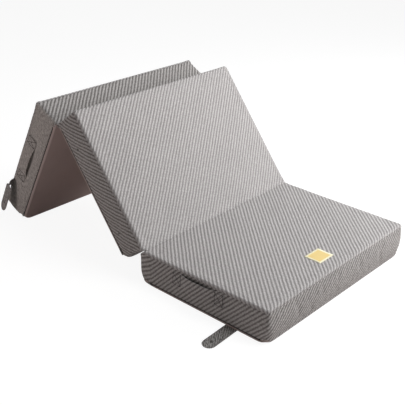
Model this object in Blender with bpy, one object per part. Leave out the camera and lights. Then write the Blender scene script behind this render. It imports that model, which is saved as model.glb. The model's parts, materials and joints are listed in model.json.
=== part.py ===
"""Three-panel folding mattress, half unfolded: the front panel lies on the floor, and the
middle and back panels lean on each other as a tent behind it.

Frame: the origin is the middle of the front panel's underside. +X runs towards the front
panel's open end, +Y across the width and +Z up. All sizes are in metres.
"""

import math

import bmesh
import bpy
from mathutils import Quaternion, Vector

for old in list(bpy.data.objects):
    bpy.data.objects.remove(old, do_unlink=True)

# Panels
panel_length = 0.648
panel_width = 0.970
panel_thickness = 0.150
corner_radius = 0.022
corner_least_radius = 0.003
crown_height = 0.003
crown_run_share = 0.30
crown_ring_shares = (0.65, 0.32)
corner_steps = 4
side_steps = 4

# Cover
fabric = 0.0020
gap = 0.0003
top_edge_radius = 0.012
fold_edge_radius = 0.0026
slack_end_radius = 0.018
edge_steps = 3
side_belly = 0.003
belly_shares = (0.0, 0.2, 0.5, 0.8, 1.0)

# Groove round the foot of the side band, where the zip and the bottom seam lie
groove_height = 0.0125
groove_half_width = 0.0038
groove_depth = 0.0025
groove_slope = 0.0005

# Foam cores
core_bottom_radius = 0.010

# Folds
fold_gap = 0.002
fold_lift = 0.0005
lean_of_middle_panel = math.radians(51.6)

# Zips
zip_end_margin = 0.034
tape_half_width = groove_half_width - groove_slope - gap
tape_thickness = 0.0010
coil_half_width = 0.0021
coil_crest_half_width = 0.0015

# Zip sliders
slider_length = 0.0140
slider_nose_length = 0.0050
slider_half_width = groove_half_width - gap
slider_nose_half_width = 0.0030
slider_plate = 0.0015
flange_inner_half_width = coil_half_width + gap
bridge_half_length = 0.0042
bridge_half_width = 0.0010
bridge_bar = 0.0010
bridge_post = 0.0010
slider_park_margin = 0.014

# Zip pulls
pull_length = 0.0240
pull_half_width = 0.0030
pull_thickness = 0.0012
pull_arm = 0.0014
pull_running_clearance = 0.0004

# Handles
handle_length = 0.270
handle_sewn_length = 0.048
handle_width = 0.060
handle_height = 0.100
handle_thickness = 0.0030
handle_bulge = 0.0160
front_handle_from_fold = 0.3025
back_handle_from_fold = 0.311
handle_bow_power = 2.6
handle_station_shares = (-1.0, -0.8, -0.55, -0.28, 0.0, 0.28, 0.55, 0.8, 1.0)

# Straps
strap_width = 0.058
strap_half_thickness = 0.0012
strap_length = 0.152
strap_stand_off = 0.0050
front_strap_from_fold = 0.475
back_strap_from_fold = 0.507
front_strap_drift = 0.008
strap_tip_steps = 5
strap_root_shares = ((-1.0, 0.35), (-0.7, 0.72), (0.0, 1.0))
back_strap_droop = math.radians(82)
back_strap_slant = math.radians(12)
back_strap_twist = math.radians(18)
back_strap_bend_share = 0.36
back_strap_turn_share = 0.60
back_strap_steps = 8

# Snap fasteners
snap_radius = 0.0060
snap_height = 0.0016
snap_rim = 0.0010
snap_from_tip = 0.041
snap_sides = 16
stud_radius = 0.0055
stud_flange = 0.0010
stud_neck_radius = 0.0022
stud_neck_height = 0.0012
stud_head_radius = 0.0030
stud_head_height = 0.0014
stud_below_top = 0.090
front_stud_from_fold = 0.502
back_stud_from_fold = 0.113

# Care label, left bare
label_length = 0.078
label_width = 0.096
label_thickness = 0.0008
label_from_open_end = 0.067
label_offset = -0.016

# Joint lines worked out from the sizes above
fold_x = -(panel_length + fold_gap) / 2
fold_front_axis = Vector((fold_x, 0, panel_thickness + fold_lift))
reach_of_middle_panel = panel_length + fold_gap
drop_of_middle_panel = panel_thickness + 2 * fold_lift
lean_cos = math.cos(lean_of_middle_panel)
lean_sin = math.sin(lean_of_middle_panel)
fold_back_axis = fold_front_axis + Vector((
    -reach_of_middle_panel * lean_cos - drop_of_middle_panel * lean_sin,
    0,
    reach_of_middle_panel * lean_sin - drop_of_middle_panel * lean_cos,
))

# The back panel leans until the rounded lower edge of its open end touches the floor
lip_height = groove_height - groove_half_width
foot_along = fold_gap / 2 + panel_length - side_belly - lip_height
foot_across = fold_lift + lip_height
foot_arm = math.hypot(foot_along, foot_across)
lean_of_back_panel = math.atan2(foot_across, foot_along) + math.asin(
    (fold_back_axis.z - lip_height) / foot_arm
)


def material(name, colour, roughness, metallic=0.0):
    """A Principled BSDF with one colour and finish."""
    made = bpy.data.materials.new(name)
    made.use_nodes = True
    shader = made.node_tree.nodes["Principled BSDF"]
    shader.inputs["Base Color"].default_value = (*colour, 1.0)
    shader.inputs["Roughness"].default_value = roughness
    shader.inputs["Metallic"].default_value = metallic
    return made


def add_object(name, mesh_data, finish, parent):
    """Puts the closed mesh in the scene as one named piece."""
    bmesh.ops.recalc_face_normals(mesh_data, faces=mesh_data.faces)
    mesh = bpy.data.meshes.new(name)
    mesh_data.to_mesh(mesh)
    mesh_data.free()
    mesh.shade_smooth()
    mesh.set_sharp_from_angle(angle=math.radians(35))
    made = bpy.data.objects.new(name, mesh)
    bpy.context.scene.collection.objects.link(made)
    made.data.materials.append(material(name, *finish))
    made.parent = parent
    return made


def add_frame(name, place, turn_about_y, parent=None):
    """An empty that carries a body, on that body's joint line."""
    made = bpy.data.objects.new(name, None)
    bpy.context.scene.collection.objects.link(made)
    made.empty_display_size = panel_thickness
    made.parent = parent
    made.location = place
    made.rotation_euler = (0, turn_about_y, 0)
    return made


def loft(rings, closed_loop=False):
    """Skins a row of rings, with a flat cap on each end unless the row is a closed loop."""
    made = bmesh.new()
    rows = [[made.verts.new(point) for point in ring] for ring in rings]
    count = len(rows[0])
    pairs = list(zip(rows, rows[1:]))
    if closed_loop:
        pairs.append((rows[-1], rows[0]))
    else:
        made.faces.new(rows[0])
        made.faces.new(rows[-1])
    for low, high in pairs:
        for i in range(count):
            j = (i + 1) % count
            made.faces.new((low[i], low[j], high[j]))
            made.faces.new((low[i], high[j], high[i]))
    return made


def extrude_along_x(profile, start, end):
    """A prism of a (y, z) outline between two places along X."""
    return loft([[Vector((x, y, z)) for y, z in profile] for x in (start, end)])


class Panel:
    """Where one panel lies in its own frame, and which of its end edges are folds.

    A side is +1 for the end at high X, -1 for the end at low X and 0 for neither.
    """

    def __init__(self, low_x, underside, top_side=0, top_side_radius=0, bottom_side=0):
        self.centre_x = low_x + panel_length / 2
        self.low_x = low_x
        self.underside = underside
        self.top_side = top_side
        self.top_side_radius = top_side_radius
        self.bottom_side = bottom_side


def perimeter_spots():
    """Each point round a panel: its corner, how far along, and whether it is on the arc."""
    spots = []
    for corner in range(4):
        for step in range(corner_steps + 1):
            spots.append((corner, step / corner_steps, True))
        for step in range(1, side_steps):
            spots.append((corner, step / side_steps, False))
    return spots


def facing_share(spot, side):
    """1 where the outline faces the named end, falling to 0 round the corner."""
    if side == 0:
        return 0.0
    corner, share, on_arc = spot
    quarter = corner + share if on_arc else corner + 1
    turned = (quarter - (0 if side > 0 else 2)) % 4
    return max(0.0, 1.0 - min(turned, 4 - turned))


def outline_point(panel, spot, inset, height):
    """The point of the rounded-rectangle outline at this spot, drawn in by the inset."""
    radius = max(corner_radius - inset, corner_least_radius)
    half_x = panel_length / 2 - inset - radius
    half_y = panel_width / 2 - inset - radius

    def on_arc(corner, share):
        across = (1, -1, -1, 1)[corner % 4]
        along = (1, 1, -1, -1)[corner % 4]
        angle = math.radians(90 * (corner + share))
        return Vector((
            panel.centre_x + across * half_x + radius * math.cos(angle),
            along * half_y + radius * math.sin(angle),
            panel.underside + height,
        ))

    corner, share, arc = spot
    if arc:
        return on_arc(corner, share)
    return on_arc(corner, 1).lerp(on_arc(corner + 1, 0), share)


def ring(panel, shape):
    """A ring round the panel; shape gives (inset, height) at each spot."""
    return [outline_point(panel, spot, *shape(spot)) for spot in perimeter_spots()]


def top_radius(panel, spot):
    share = facing_share(spot, panel.top_side)
    return top_edge_radius + (panel.top_side_radius - top_edge_radius) * share


def bottom_radius(panel, spot):
    share = facing_share(spot, panel.bottom_side)
    return lip_height + (fold_edge_radius - lip_height) * share


def belly_above(panel, spot):
    """How far the top seam is drawn in; a fold edge stays in the panel's end plane."""
    return side_belly * (1 - facing_share(spot, panel.top_side))


def belly_below(panel, spot):
    return side_belly * (1 - facing_share(spot, panel.bottom_side))


def crown_at(share):
    """Height of the crown at a share of its run in from the edge."""
    return crown_height * (1 - (1 - share) ** 2)


crown_run = crown_run_share * panel_length
groove_top = groove_height + groove_half_width
wall_inset = side_belly + groove_depth + fabric


def crown_rings(panel, below):
    """The rings of the crowned top, from the flat middle outwards, this far below it."""
    return [
        ring(panel, lambda spot, share=share: (
            crown_run * share, panel_thickness + crown_at(share) - below))
        for share in (1.0,) + crown_ring_shares
    ]


def top_edge_rings(panel, skin, steps, least_inset=0):
    """The rounded top edge, from the top down, this far inside the fabric's outer face."""
    made = []
    for step in range(steps + 1):
        angle = math.pi / 2 * step / steps

        def shape(spot, angle=angle):
            radius = top_radius(panel, spot) - skin
            inset = belly_above(panel, spot) + skin + radius * (1 - math.sin(angle))
            height = panel_thickness - skin - radius * (1 - math.cos(angle))
            return max(inset, least_inset), height

        made.append(ring(panel, shape))
    return made


def top_cover_mesh(panel):
    outer = crown_rings(panel, 0) + top_edge_rings(panel, 0, edge_steps)
    inner = crown_rings(panel, fabric) + top_edge_rings(panel, fabric, edge_steps - 1)
    return loft(outer + inner[::-1])


def side_band_mesh(panel):
    """The boxed side: a slight belly between the top seam and the groove at its foot."""

    def belly(share):
        def shape(spot):
            top = panel_thickness - top_radius(panel, spot) - gap
            drawn = belly_above(panel, spot) if share < 0.5 else belly_below(panel, spot)
            inset = drawn * (1 - math.sin(math.pi * share))
            return inset, top + (groove_top - top) * share

        return shape

    def floor_of_groove(height):
        return lambda spot: (belly_below(panel, spot) + groove_depth, height)

    def inner(height_of):
        return lambda spot: (wall_inset, height_of(spot))

    rings = [ring(panel, belly(share)) for share in belly_shares]
    rings.append(ring(panel, floor_of_groove(groove_top - groove_slope)))
    rings.append(ring(panel, floor_of_groove(groove_height + gap / 2)))
    rings.append(ring(panel, inner(lambda spot: groove_height + gap / 2)))
    rings.append(ring(panel, inner(
        lambda spot: panel_thickness - top_radius(panel, spot) - gap)))
    return loft(rings, closed_loop=True)


def bottom_cover_mesh(panel):
    """The plain base: a shallow tray with a lip under the groove, flat underneath."""

    def floor_of_groove(height):
        return lambda spot: (belly_below(panel, spot) + groove_depth, height)

    rings = [ring(panel, floor_of_groove(groove_height - gap / 2))]
    rings.append(ring(panel, floor_of_groove(lip_height + groove_slope)))
    rings.append(ring(panel, lambda spot: (belly_below(panel, spot), lip_height)))
    for step in range(edge_steps + 1):
        angle = math.pi / 2 * (1 - step / edge_steps)

        def shape(spot, angle=angle, at_lip=step == 0):
            radius = bottom_radius(panel, spot) - (groove_slope if at_lip else 0)
            return (
                belly_below(panel, spot) + radius * (1 - math.sin(angle)),
                radius * (1 - math.cos(angle)),
            )

        rings.append(ring(panel, shape))
    inner = [
        ring(panel, lambda spot: (wall_inset, fabric)),
        ring(panel, lambda spot: (wall_inset, groove_height - gap / 2)),
    ]
    return loft(rings[::-1] + inner[::-1])


def foam_core_mesh(panel):
    """The foam slab, a gap inside the cover all round."""
    side = wall_inset + gap
    skin = fabric + gap
    upper = crown_rings(panel, skin) + top_edge_rings(panel, skin, edge_steps - 1, side)
    lower = []
    for step in range(edge_steps):
        angle = math.pi / 2 * step / (edge_steps - 1)
        inset = side + core_bottom_radius * (1 - math.sin(angle))
        height = skin + core_bottom_radius * (1 - math.cos(angle))
        lower.append(ring(panel, lambda spot, at=(inset, height): at))
    return loft(upper + lower[::-1])


# Heights of the side band's rings on a free side, which the handles follow
band_top = panel_thickness - top_edge_radius - gap
band_heights = [band_top + (groove_top - band_top) * share for share in belly_shares]
band_insets = [side_belly * (1 - math.sin(math.pi * share)) for share in belly_shares]


def side_inset(height):
    """How far the left side lies inside the panel's width at this height."""
    for i in range(len(band_heights) - 1):
        high, low = band_heights[i], band_heights[i + 1]
        if low <= height <= high:
            share = (high - height) / (high - low)
            return band_insets[i] + (band_insets[i + 1] - band_insets[i]) * share
    return side_belly


left_side = -panel_width / 2
groove_floor_y = left_side + side_belly + groove_depth
tape_inner_y = groove_floor_y - gap
tape_outer_y = tape_inner_y - tape_thickness
coil_crest_y = left_side + side_belly
slider_inner_y = coil_crest_y - gap
slider_outer_y = slider_inner_y - slider_plate
pull_pin_y = slider_outer_y - pull_running_clearance - pull_thickness / 2
bridge_under_y = pull_pin_y - pull_thickness / 2 - pull_running_clearance
bridge_reach = pull_thickness / 2 + pull_running_clearance + bridge_bar


def zip_chain_mesh(panel):
    """Tape and coil as one strip, seated in the groove along the left side."""
    middle = panel.underside + groove_height
    profile = [
        (tape_inner_y, middle - tape_half_width),
        (tape_inner_y, middle + tape_half_width),
        (tape_outer_y, middle + tape_half_width),
        (tape_outer_y, middle + coil_half_width),
        (coil_crest_y, middle + coil_crest_half_width),
        (coil_crest_y, middle - coil_crest_half_width),
        (tape_outer_y, middle - coil_half_width),
        (tape_outer_y, middle - tape_half_width),
    ]
    start = panel.low_x + zip_end_margin
    return extrude_along_x(profile, start, panel.low_x + panel_length - zip_end_margin)


def box_mesh(low, high):
    """A closed box between two corners."""
    made = bmesh.new()
    bmesh.ops.create_cube(made, size=1.0)
    middle = [(a + b) / 2 for a, b in zip(low, high)]
    for vert in made.verts:
        vert.co = Vector([m + c * (b - a) for m, c, a, b in zip(middle, vert.co, low, high)])
    return made


def add_cutter(name, mesh_data, parent):
    """A helper solid for a Boolean, which isn't a piece itself."""
    made = add_object(name, mesh_data, ((1.0, 0.0, 0.0), 0.5), parent)
    made.hide_render = True
    made.display_type = "WIRE"
    return made


def join(target, name, operation, helper):
    change = target.modifiers.new(name, "BOOLEAN")
    change.operation = operation
    change.solver = "EXACT"
    change.object = helper


def add_slider(name, panel, place_x, nose, finish, parent):
    """The slider: a plate with two flanges beside the coil, and a bridge for the pull.

    nose is +1 or -1, the way its narrow end points along X.
    """
    middle = panel.underside + groove_height
    flange_reach_y = tape_outer_y - gap

    def section(x, half_width):
        inner = flange_inner_half_width
        profile = [
            (slider_outer_y, middle - half_width),
            (slider_outer_y, middle + half_width),
            (flange_reach_y, middle + half_width),
            (flange_reach_y, middle + inner),
            (slider_inner_y, middle + inner),
            (slider_inner_y, middle - inner),
            (flange_reach_y, middle - inner),
            (flange_reach_y, middle - half_width),
        ]
        return [Vector((x, y, z)) for y, z in profile]

    half = slider_length / 2
    body = loft([
        section(place_x - nose * half, slider_half_width),
        section(place_x + nose * (half - slider_nose_length), slider_half_width),
        section(place_x + nose * half, slider_nose_half_width),
    ])
    made = add_object(name, body, finish, parent)
    bridge_outer_y = pull_pin_y - bridge_reach
    bridge = box_mesh(
        (place_x - bridge_half_length, bridge_outer_y, middle - bridge_half_width),
        (place_x + bridge_half_length, slider_outer_y + slider_plate / 2,
         middle + bridge_half_width),
    )
    join(made, "bridge", "UNION", add_cutter(name + "_bridge_shape", bridge, parent))
    reach = bridge_half_length - bridge_post
    eye = box_mesh(
        (place_x - reach, bridge_under_y, middle - 2 * bridge_half_width),
        (place_x + reach, slider_outer_y, middle + 2 * bridge_half_width),
    )
    join(made, "eye", "DIFFERENCE", add_cutter(name + "_eye_shape", eye, parent))
    return made


def add_pull(name, panel, place_x, way, finish, parent):
    """The pull tab: its eye bar turns under the bridge; way is +1 or -1 along X."""
    middle = panel.underside + groove_height
    frame = bpy.data.objects.new(name + "_pin", None)
    bpy.context.scene.collection.objects.link(frame)
    frame.empty_display_size = pull_length
    frame.location = (place_x, pull_pin_y, middle)
    frame.parent = parent
    half = pull_thickness / 2
    window_end = math.hypot(bridge_half_length, bridge_reach) + pull_running_clearance
    window_half = pull_half_width - pull_arm
    outline = [
        (-half, -pull_half_width),
        (-half, pull_half_width),
        (pull_length - pull_half_width, pull_half_width),
        (pull_length, pull_half_width / 2),
        (pull_length, -pull_half_width / 2),
        (pull_length - pull_half_width, -pull_half_width),
    ]
    tab = loft([
        [Vector((way * x, y, z)) for x, z in outline] for y in (-half, half)
    ])
    made = add_object(name, tab, finish, frame)
    window = box_mesh(
        (min(way * half, way * window_end), -pull_thickness, -window_half),
        (max(way * half, way * window_end), pull_thickness, window_half),
    )
    join(made, "window", "DIFFERENCE", add_cutter(name + "_window_shape", window, frame))
    return made


def handle_mesh(panel, centre_x):
    """A flat band sewn down at both ends, bowing out between them to leave a finger gap."""
    low = handle_height - handle_width / 2
    high = handle_height + handle_width / 2
    between = [height for height in band_heights if low < height < high]
    heights = [high] + between + [low]
    free_half = handle_length / 2 - handle_sewn_length
    places = [(-handle_length / 2, 0.0)]
    for share in handle_station_shares:
        places.append((share * free_half, handle_bulge * (1 - abs(share) ** handle_bow_power)))
    places.append((handle_length / 2, 0.0))
    rings = []
    for x, bulge in places:
        inner_face = [
            Vector((centre_x + x, left_side + side_inset(height) - gap - bulge,
                    panel.underside + height))
            for height in heights
        ]
        outer_face = [point - Vector((0, handle_thickness, 0)) for point in inner_face]
        rings.append(inner_face + outer_face[::-1])
    return loft(rings)


def strip_mesh(stations):
    """A flat strip through stations of (centre, width way, face way, half width, half depth)."""
    rings = []
    for centre, across, face, half_width, half_depth in stations:
        rings.append([
            centre - across * half_width - face * half_depth,
            centre + across * half_width - face * half_depth,
            centre + across * half_width + face * half_depth,
            centre - across * half_width + face * half_depth,
        ])
    return loft(rings)


def strap_half_width(along):
    """Half the strap's width at a distance from its root: full, then a half-round tip."""
    tip = strap_width / 2
    past = along - (strap_length - tip)
    if past <= 0:
        return tip
    return math.sqrt(max(tip ** 2 - past ** 2, strap_half_thickness ** 2))


def strap_distances(body_steps):
    """Distances from the root at which the strap has a station, closer at its tip."""
    tip = strap_width / 2
    straight = [
        (strap_length - tip) * (step + 1) / body_steps for step in range(body_steps)
    ]
    rounded = [
        strap_length - tip + tip * math.sin(math.pi / 2 * (step + 1) / strap_tip_steps)
        for step in range(strap_tip_steps)
    ]
    return straight + rounded


def strap_root_stations(place, outward, across, face):
    """The root's rounded edge, centred on the line that the strap turns about."""
    return [
        (place + outward * strap_half_thickness * shift, across, face, strap_width / 2,
         strap_half_thickness * share)
        for shift, share in strap_root_shares
    ]


def front_strap_mesh():
    """The front strap, lying on the floor beside the panel, in its hinge line's frame."""
    outward, across, face = Vector((0, -1, 0)), Vector((1, 0, 0)), Vector((0, 0, 1))
    stations = strap_root_stations(Vector((0, 0, 0)), outward, across, face)
    for along in strap_distances(1):
        drift = front_strap_drift * along / strap_length
        centre = outward * along + across * drift
        stations.append((centre, across, face, strap_half_width(along), strap_half_thickness))
    return strip_mesh(stations)


def back_strap_path():
    """Places along the drooping back strap, in its hinge line's frame.

    Each is (distance, centre, way along, width way): it leaves the seam outwards, bends
    down under its own weight, slants a little towards the foot, turns its width from the
    seam's slope towards level and twists its front edge outwards.
    """
    outward = Vector((0, -1, 0))
    fall = lean_of_back_panel + back_strap_slant
    down = Vector((-math.sin(fall), 0, -math.cos(fall)))
    along_seam = Vector((1, 0, 0))
    level = Vector((math.cos(lean_of_back_panel), 0, -math.sin(lean_of_back_panel)))
    bend_length = back_strap_bend_share * strap_length
    centre, last, made = Vector((0, 0, 0)), 0.0, []
    for along in strap_distances(back_strap_steps):
        turn = back_strap_droop * min(1.0, (last + along) / 2 / bend_length)
        way = outward * math.cos(turn) + down * math.sin(turn)
        centre = centre + way * (along - last)
        share = back_strap_turn_share * min(1.0, along / bend_length) ** 2
        across = along_seam.lerp(level, share)
        across = (across - way * across.dot(way)).normalized()
        across.rotate(Quaternion(way, back_strap_twist * share))
        made.append((along, centre.copy(), way, across))
        last = along
    return made


def back_strap_mesh():
    outward, across, face = Vector((0, -1, 0)), Vector((1, 0, 0)), Vector((0, 0, 1))
    stations = strap_root_stations(Vector((0, 0, 0)), outward, across, face)
    for along, centre, way, across in back_strap_path():
        face = across.cross(way).normalized() * -1
        stations.append((centre, across, face, strap_half_width(along), strap_half_thickness))
    return strip_mesh(stations)


def strap_root_mesh(place, seat_y):
    """The strap's sewn root, from the cover out to the line that the strap turns about."""
    half = strap_width / 2
    end_y = place.y + strap_half_thickness + gap
    return box_mesh(
        (place.x - half, end_y, place.z - strap_half_thickness),
        (place.x + half, seat_y, place.z + strap_half_thickness),
    )


def turned_mesh(profile, centre, axis_way):
    """A round piece from (radius, distance along its axis) points, closed at both ends."""
    axis = axis_way.normalized()
    side = axis.orthogonal().normalized()
    other = axis.cross(side)
    rings = []
    for radius, along in profile:
        rings.append([
            centre + axis * along
            + side * radius * math.cos(2 * math.pi * i / snap_sides)
            + other * radius * math.sin(2 * math.pi * i / snap_sides)
            for i in range(snap_sides)
        ])
    return loft(rings)


def snap_mesh(place, way):
    """The socket half of a snap: a low dished button, a gap off the strap's face."""
    return turned_mesh([
        (snap_radius, gap),
        (snap_radius, gap + snap_height - snap_rim / 2),
        (snap_radius - snap_rim / 2, gap + snap_height),
        (snap_radius - 2 * snap_rim, gap + snap_height),
        (snap_radius - 3 * snap_rim, gap + snap_height - snap_rim / 2),
    ], place, way)


def stud_mesh(place, way):
    """The stud half of a snap: a flange, a neck and a rounded head."""
    neck_top = gap + stud_flange + stud_neck_height
    return turned_mesh([
        (stud_radius, gap),
        (stud_radius, gap + stud_flange),
        (stud_neck_radius, gap + stud_flange),
        (stud_neck_radius, neck_top),
        (stud_head_radius, neck_top + stud_head_height / 3),
        (stud_head_radius, neck_top + 2 * stud_head_height / 3),
        (stud_neck_radius, neck_top + stud_head_height),
    ], place, way)


def fold_bead_mesh():
    """The roll of cover fabric along a fold line, a gap from both panels' edges."""
    reach = math.hypot(fold_gap / 2 + fold_edge_radius, fold_lift + fold_edge_radius)
    radius = reach - fold_edge_radius - gap
    half = panel_width / 2 - corner_radius
    return turned_mesh([(radius, -half), (radius, half)], Vector((0, 0, 0)),
                       Vector((0, 1, 0)))


def label_mesh(panel):
    """The care label, following the crown of the front panel's top."""
    high_x = panel.low_x + panel_length - label_from_open_end
    low_x = high_x - label_length
    end_x = panel.low_x + panel_length
    ring_places = [end_x - crown_run * share for share in crown_ring_shares]
    places = [low_x] + [x for x in ring_places if low_x < x < high_x] + [high_x]
    shares = (1.0,) + crown_ring_shares

    def height(x):
        inset = (end_x - x) / crown_run
        for far, near in zip(shares, shares[1:]):
            if near <= inset <= far:
                part = (inset - near) / (far - near)
                return crown_at(near) + (crown_at(far) - crown_at(near)) * part
        return crown_height

    low_y = label_offset - label_width / 2
    high_y = label_offset + label_width / 2
    rings = []
    for x in places:
        base = panel.underside + panel_thickness + height(x) + gap
        top = base + label_thickness
        rings.append([Vector((x, y, z)) for y, z in (
            (low_y, base), (high_y, base), (high_y, top), (low_y, top))])
    return loft(rings)


# Colours and roughness, as in the photograph
top_finish = ((0.40, 0.385, 0.375), 0.95)
band_finish = ((0.30, 0.285, 0.275), 0.95)
bottom_finish = ((0.085, 0.062, 0.056), 0.9)
foam_finish = ((0.80, 0.76, 0.62), 0.9)
strap_finish = ((0.27, 0.255, 0.245), 0.95)
zip_finish = ((0.045, 0.040, 0.040), 0.6)
metal_finish = ((0.10, 0.10, 0.10), 0.35, 0.8)
label_finish = ((0.75, 0.62, 0.22), 0.8)

# Frames of the three panels, each on its fold line
front_frame = add_frame("front_panel_frame", (0, 0, 0), 0)
middle_frame = add_frame("middle_panel_frame", fold_front_axis, lean_of_middle_panel)
back_frame = add_frame("back_panel_frame", fold_back_axis, -lean_of_back_panel)

front = Panel(-panel_length / 2, 0, top_side=-1, top_side_radius=fold_edge_radius)
middle = Panel(
    -fold_gap / 2 - panel_length, -fold_lift - panel_thickness,
    top_side=1, top_side_radius=fold_edge_radius, bottom_side=-1,
)
back = Panel(
    -fold_gap / 2 - panel_length, fold_lift,
    top_side=1, top_side_radius=slack_end_radius, bottom_side=1,
)

# The cover, foam and zip of each panel
park = zip_end_margin + slider_park_margin
panels = (
    ("front", front, front_frame, front.low_x + park, -1),
    ("middle", middle, middle_frame, middle.low_x + panel_length - park, 1),
    ("back", back, back_frame, back.low_x + park, -1),
)
for name, panel, frame, park_x, parked_end in panels:
    add_object(name + "_foam_core", foam_core_mesh(panel), foam_finish, frame)
    add_object(name + "_top_cover", top_cover_mesh(panel), top_finish, frame)
    add_object(name + "_side_band", side_band_mesh(panel), band_finish, frame)
    add_object(name + "_bottom_cover", bottom_cover_mesh(panel), bottom_finish, frame)
    add_object(name + "_zip_chain", zip_chain_mesh(panel), zip_finish, frame)
    add_slider(name + "_zip_slider", panel, park_x, parked_end, metal_finish, frame)
    add_pull(name + "_zip_pull", panel, park_x, parked_end, metal_finish, frame)

# The rolled seams that the panels fold about
front_bead_frame = add_frame("front_fold_line", fold_front_axis, 0)
back_bead_frame = add_frame("back_fold_line", fold_back_axis, 0)
add_object("front_fold_seam", fold_bead_mesh(), top_finish, front_bead_frame)
add_object("back_fold_seam", fold_bead_mesh(), bottom_finish, back_bead_frame)

# Handles on the left sides of the front and back panels, nearly in line when stacked
front_handle_x = front.low_x + front_handle_from_fold
back_handle_x = back.low_x + panel_length - back_handle_from_fold
add_object("front_handle", handle_mesh(front, front_handle_x), strap_finish, front_frame)
add_object("back_handle", handle_mesh(back, back_handle_x), strap_finish, back_frame)

# The front strap, from under the bottom edge
strap_line_y = left_side - strap_stand_off
front_strap_place = Vector((
    front.low_x + front_strap_from_fold, strap_line_y, strap_half_thickness))
front_strap_line = add_frame("front_strap_line", front_strap_place, 0)
root_top = 2 * strap_half_thickness + gap
root_seat_y = left_side + side_belly + lip_height - math.sqrt(
    lip_height ** 2 - (lip_height - root_top) ** 2)
add_object("front_strap_root", strap_root_mesh(front_strap_place, root_seat_y),
           strap_finish, front_frame)
add_object("front_strap", front_strap_mesh(), strap_finish, front_strap_line)
snap_along = strap_length - snap_from_tip
snap_place = Vector((front_strap_drift * snap_along / strap_length, -snap_along,
                     strap_half_thickness))
add_object("front_strap_snap", snap_mesh(snap_place, Vector((0, 0, 1))), metal_finish,
           front_strap_line)

# The back strap, from the top seam of the back panel
back_strap_height = back.underside + band_top - strap_half_thickness
back_strap_place = Vector((
    back.low_x + panel_length - back_strap_from_fold, strap_line_y, back_strap_height))
back_strap_line = add_frame("back_strap_line", back_strap_place, 0, parent=back_frame)
top_seat_y = left_side + side_inset(band_top - 2 * strap_half_thickness) - gap
add_object("back_strap_root", strap_root_mesh(back_strap_place, top_seat_y),
           strap_finish, back_frame)
add_object("back_strap", back_strap_mesh(), strap_finish, back_strap_line)
nearest = min(back_strap_path(), key=lambda station: abs(station[0] - snap_along))
inner_face = nearest[3].cross(nearest[2]).normalized() * -1
add_object("back_strap_snap", snap_mesh(
    nearest[1] + inner_face * strap_half_thickness, inner_face), metal_finish, back_strap_line)

# Studs on the middle panel's left side, one for each strap when the panels are stacked
stud_height = panel_thickness - stud_below_top
stud_y = left_side + side_inset(stud_height)
stud_places = (
    ("front_strap_stud", front_stud_from_fold),
    ("back_strap_stud", back_stud_from_fold),
)
for name, from_fold in stud_places:
    place = Vector((middle.low_x + panel_length - from_fold, stud_y,
                    middle.underside + stud_height))
    add_object(name, stud_mesh(place, Vector((0, -1, 0))), metal_finish, middle_frame)

add_object("care_label", label_mesh(front), label_finish, front_frame)
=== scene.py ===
import json
import math

import bmesh
import bpy
import numpy as np
from mathutils import Matrix, Quaternion, Vector
from mathutils import noise as mathutils_noise
from mathutils.bvhtree import BVHTree
from mathutils.kdtree import KDTree


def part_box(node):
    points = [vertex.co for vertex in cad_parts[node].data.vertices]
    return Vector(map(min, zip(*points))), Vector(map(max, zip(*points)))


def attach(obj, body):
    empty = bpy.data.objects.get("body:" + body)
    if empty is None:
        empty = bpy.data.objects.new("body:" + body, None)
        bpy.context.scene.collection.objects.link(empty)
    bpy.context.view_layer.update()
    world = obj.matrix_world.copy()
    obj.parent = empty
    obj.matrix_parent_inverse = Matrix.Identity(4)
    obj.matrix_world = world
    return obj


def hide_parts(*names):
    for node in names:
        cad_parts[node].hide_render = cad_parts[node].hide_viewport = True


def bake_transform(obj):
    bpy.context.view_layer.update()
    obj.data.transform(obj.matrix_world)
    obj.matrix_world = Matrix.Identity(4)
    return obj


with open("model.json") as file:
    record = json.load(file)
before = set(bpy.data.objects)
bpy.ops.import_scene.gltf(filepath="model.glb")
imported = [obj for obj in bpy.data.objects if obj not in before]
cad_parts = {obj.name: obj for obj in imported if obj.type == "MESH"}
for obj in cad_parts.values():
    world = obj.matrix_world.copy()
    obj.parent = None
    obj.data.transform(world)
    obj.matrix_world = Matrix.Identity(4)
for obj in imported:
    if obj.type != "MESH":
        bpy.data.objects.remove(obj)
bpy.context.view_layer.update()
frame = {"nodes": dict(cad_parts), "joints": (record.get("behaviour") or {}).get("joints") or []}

scene = bpy.context.scene

# Camera
# It stands to the front left of the mattress at about head height and looks down over the
# front panel, level but for a slight roll.
photo_width_px = 405
focal_length_px = 788.5
sensor_width_mm = 36.0
camera_place = Vector((1.7289, -2.4224, 1.7265))
camera_look = Vector((-0.6009, 0.6722, -0.4325)).normalized()
camera_roll = 0.0183
camera_near = 0.05

camera_data = bpy.data.cameras.new("camera")
camera_data.sensor_width = sensor_width_mm
camera_data.lens = focal_length_px / photo_width_px * sensor_width_mm
camera_data.clip_start = camera_near
camera = bpy.data.objects.new("camera", camera_data)
scene.collection.objects.link(camera)
scene.camera = camera
level_right = camera_look.cross(Vector((0, 0, 1))).normalized()
roll_turn = Quaternion(camera_look, -camera_roll)
camera_right = roll_turn @ level_right
camera_up = camera_right.cross(camera_look)
camera_turn = Matrix((camera_right, camera_up, -camera_look)).transposed().to_4x4()
camera.matrix_world = Matrix.Translation(camera_place) @ camera_turn

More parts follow.
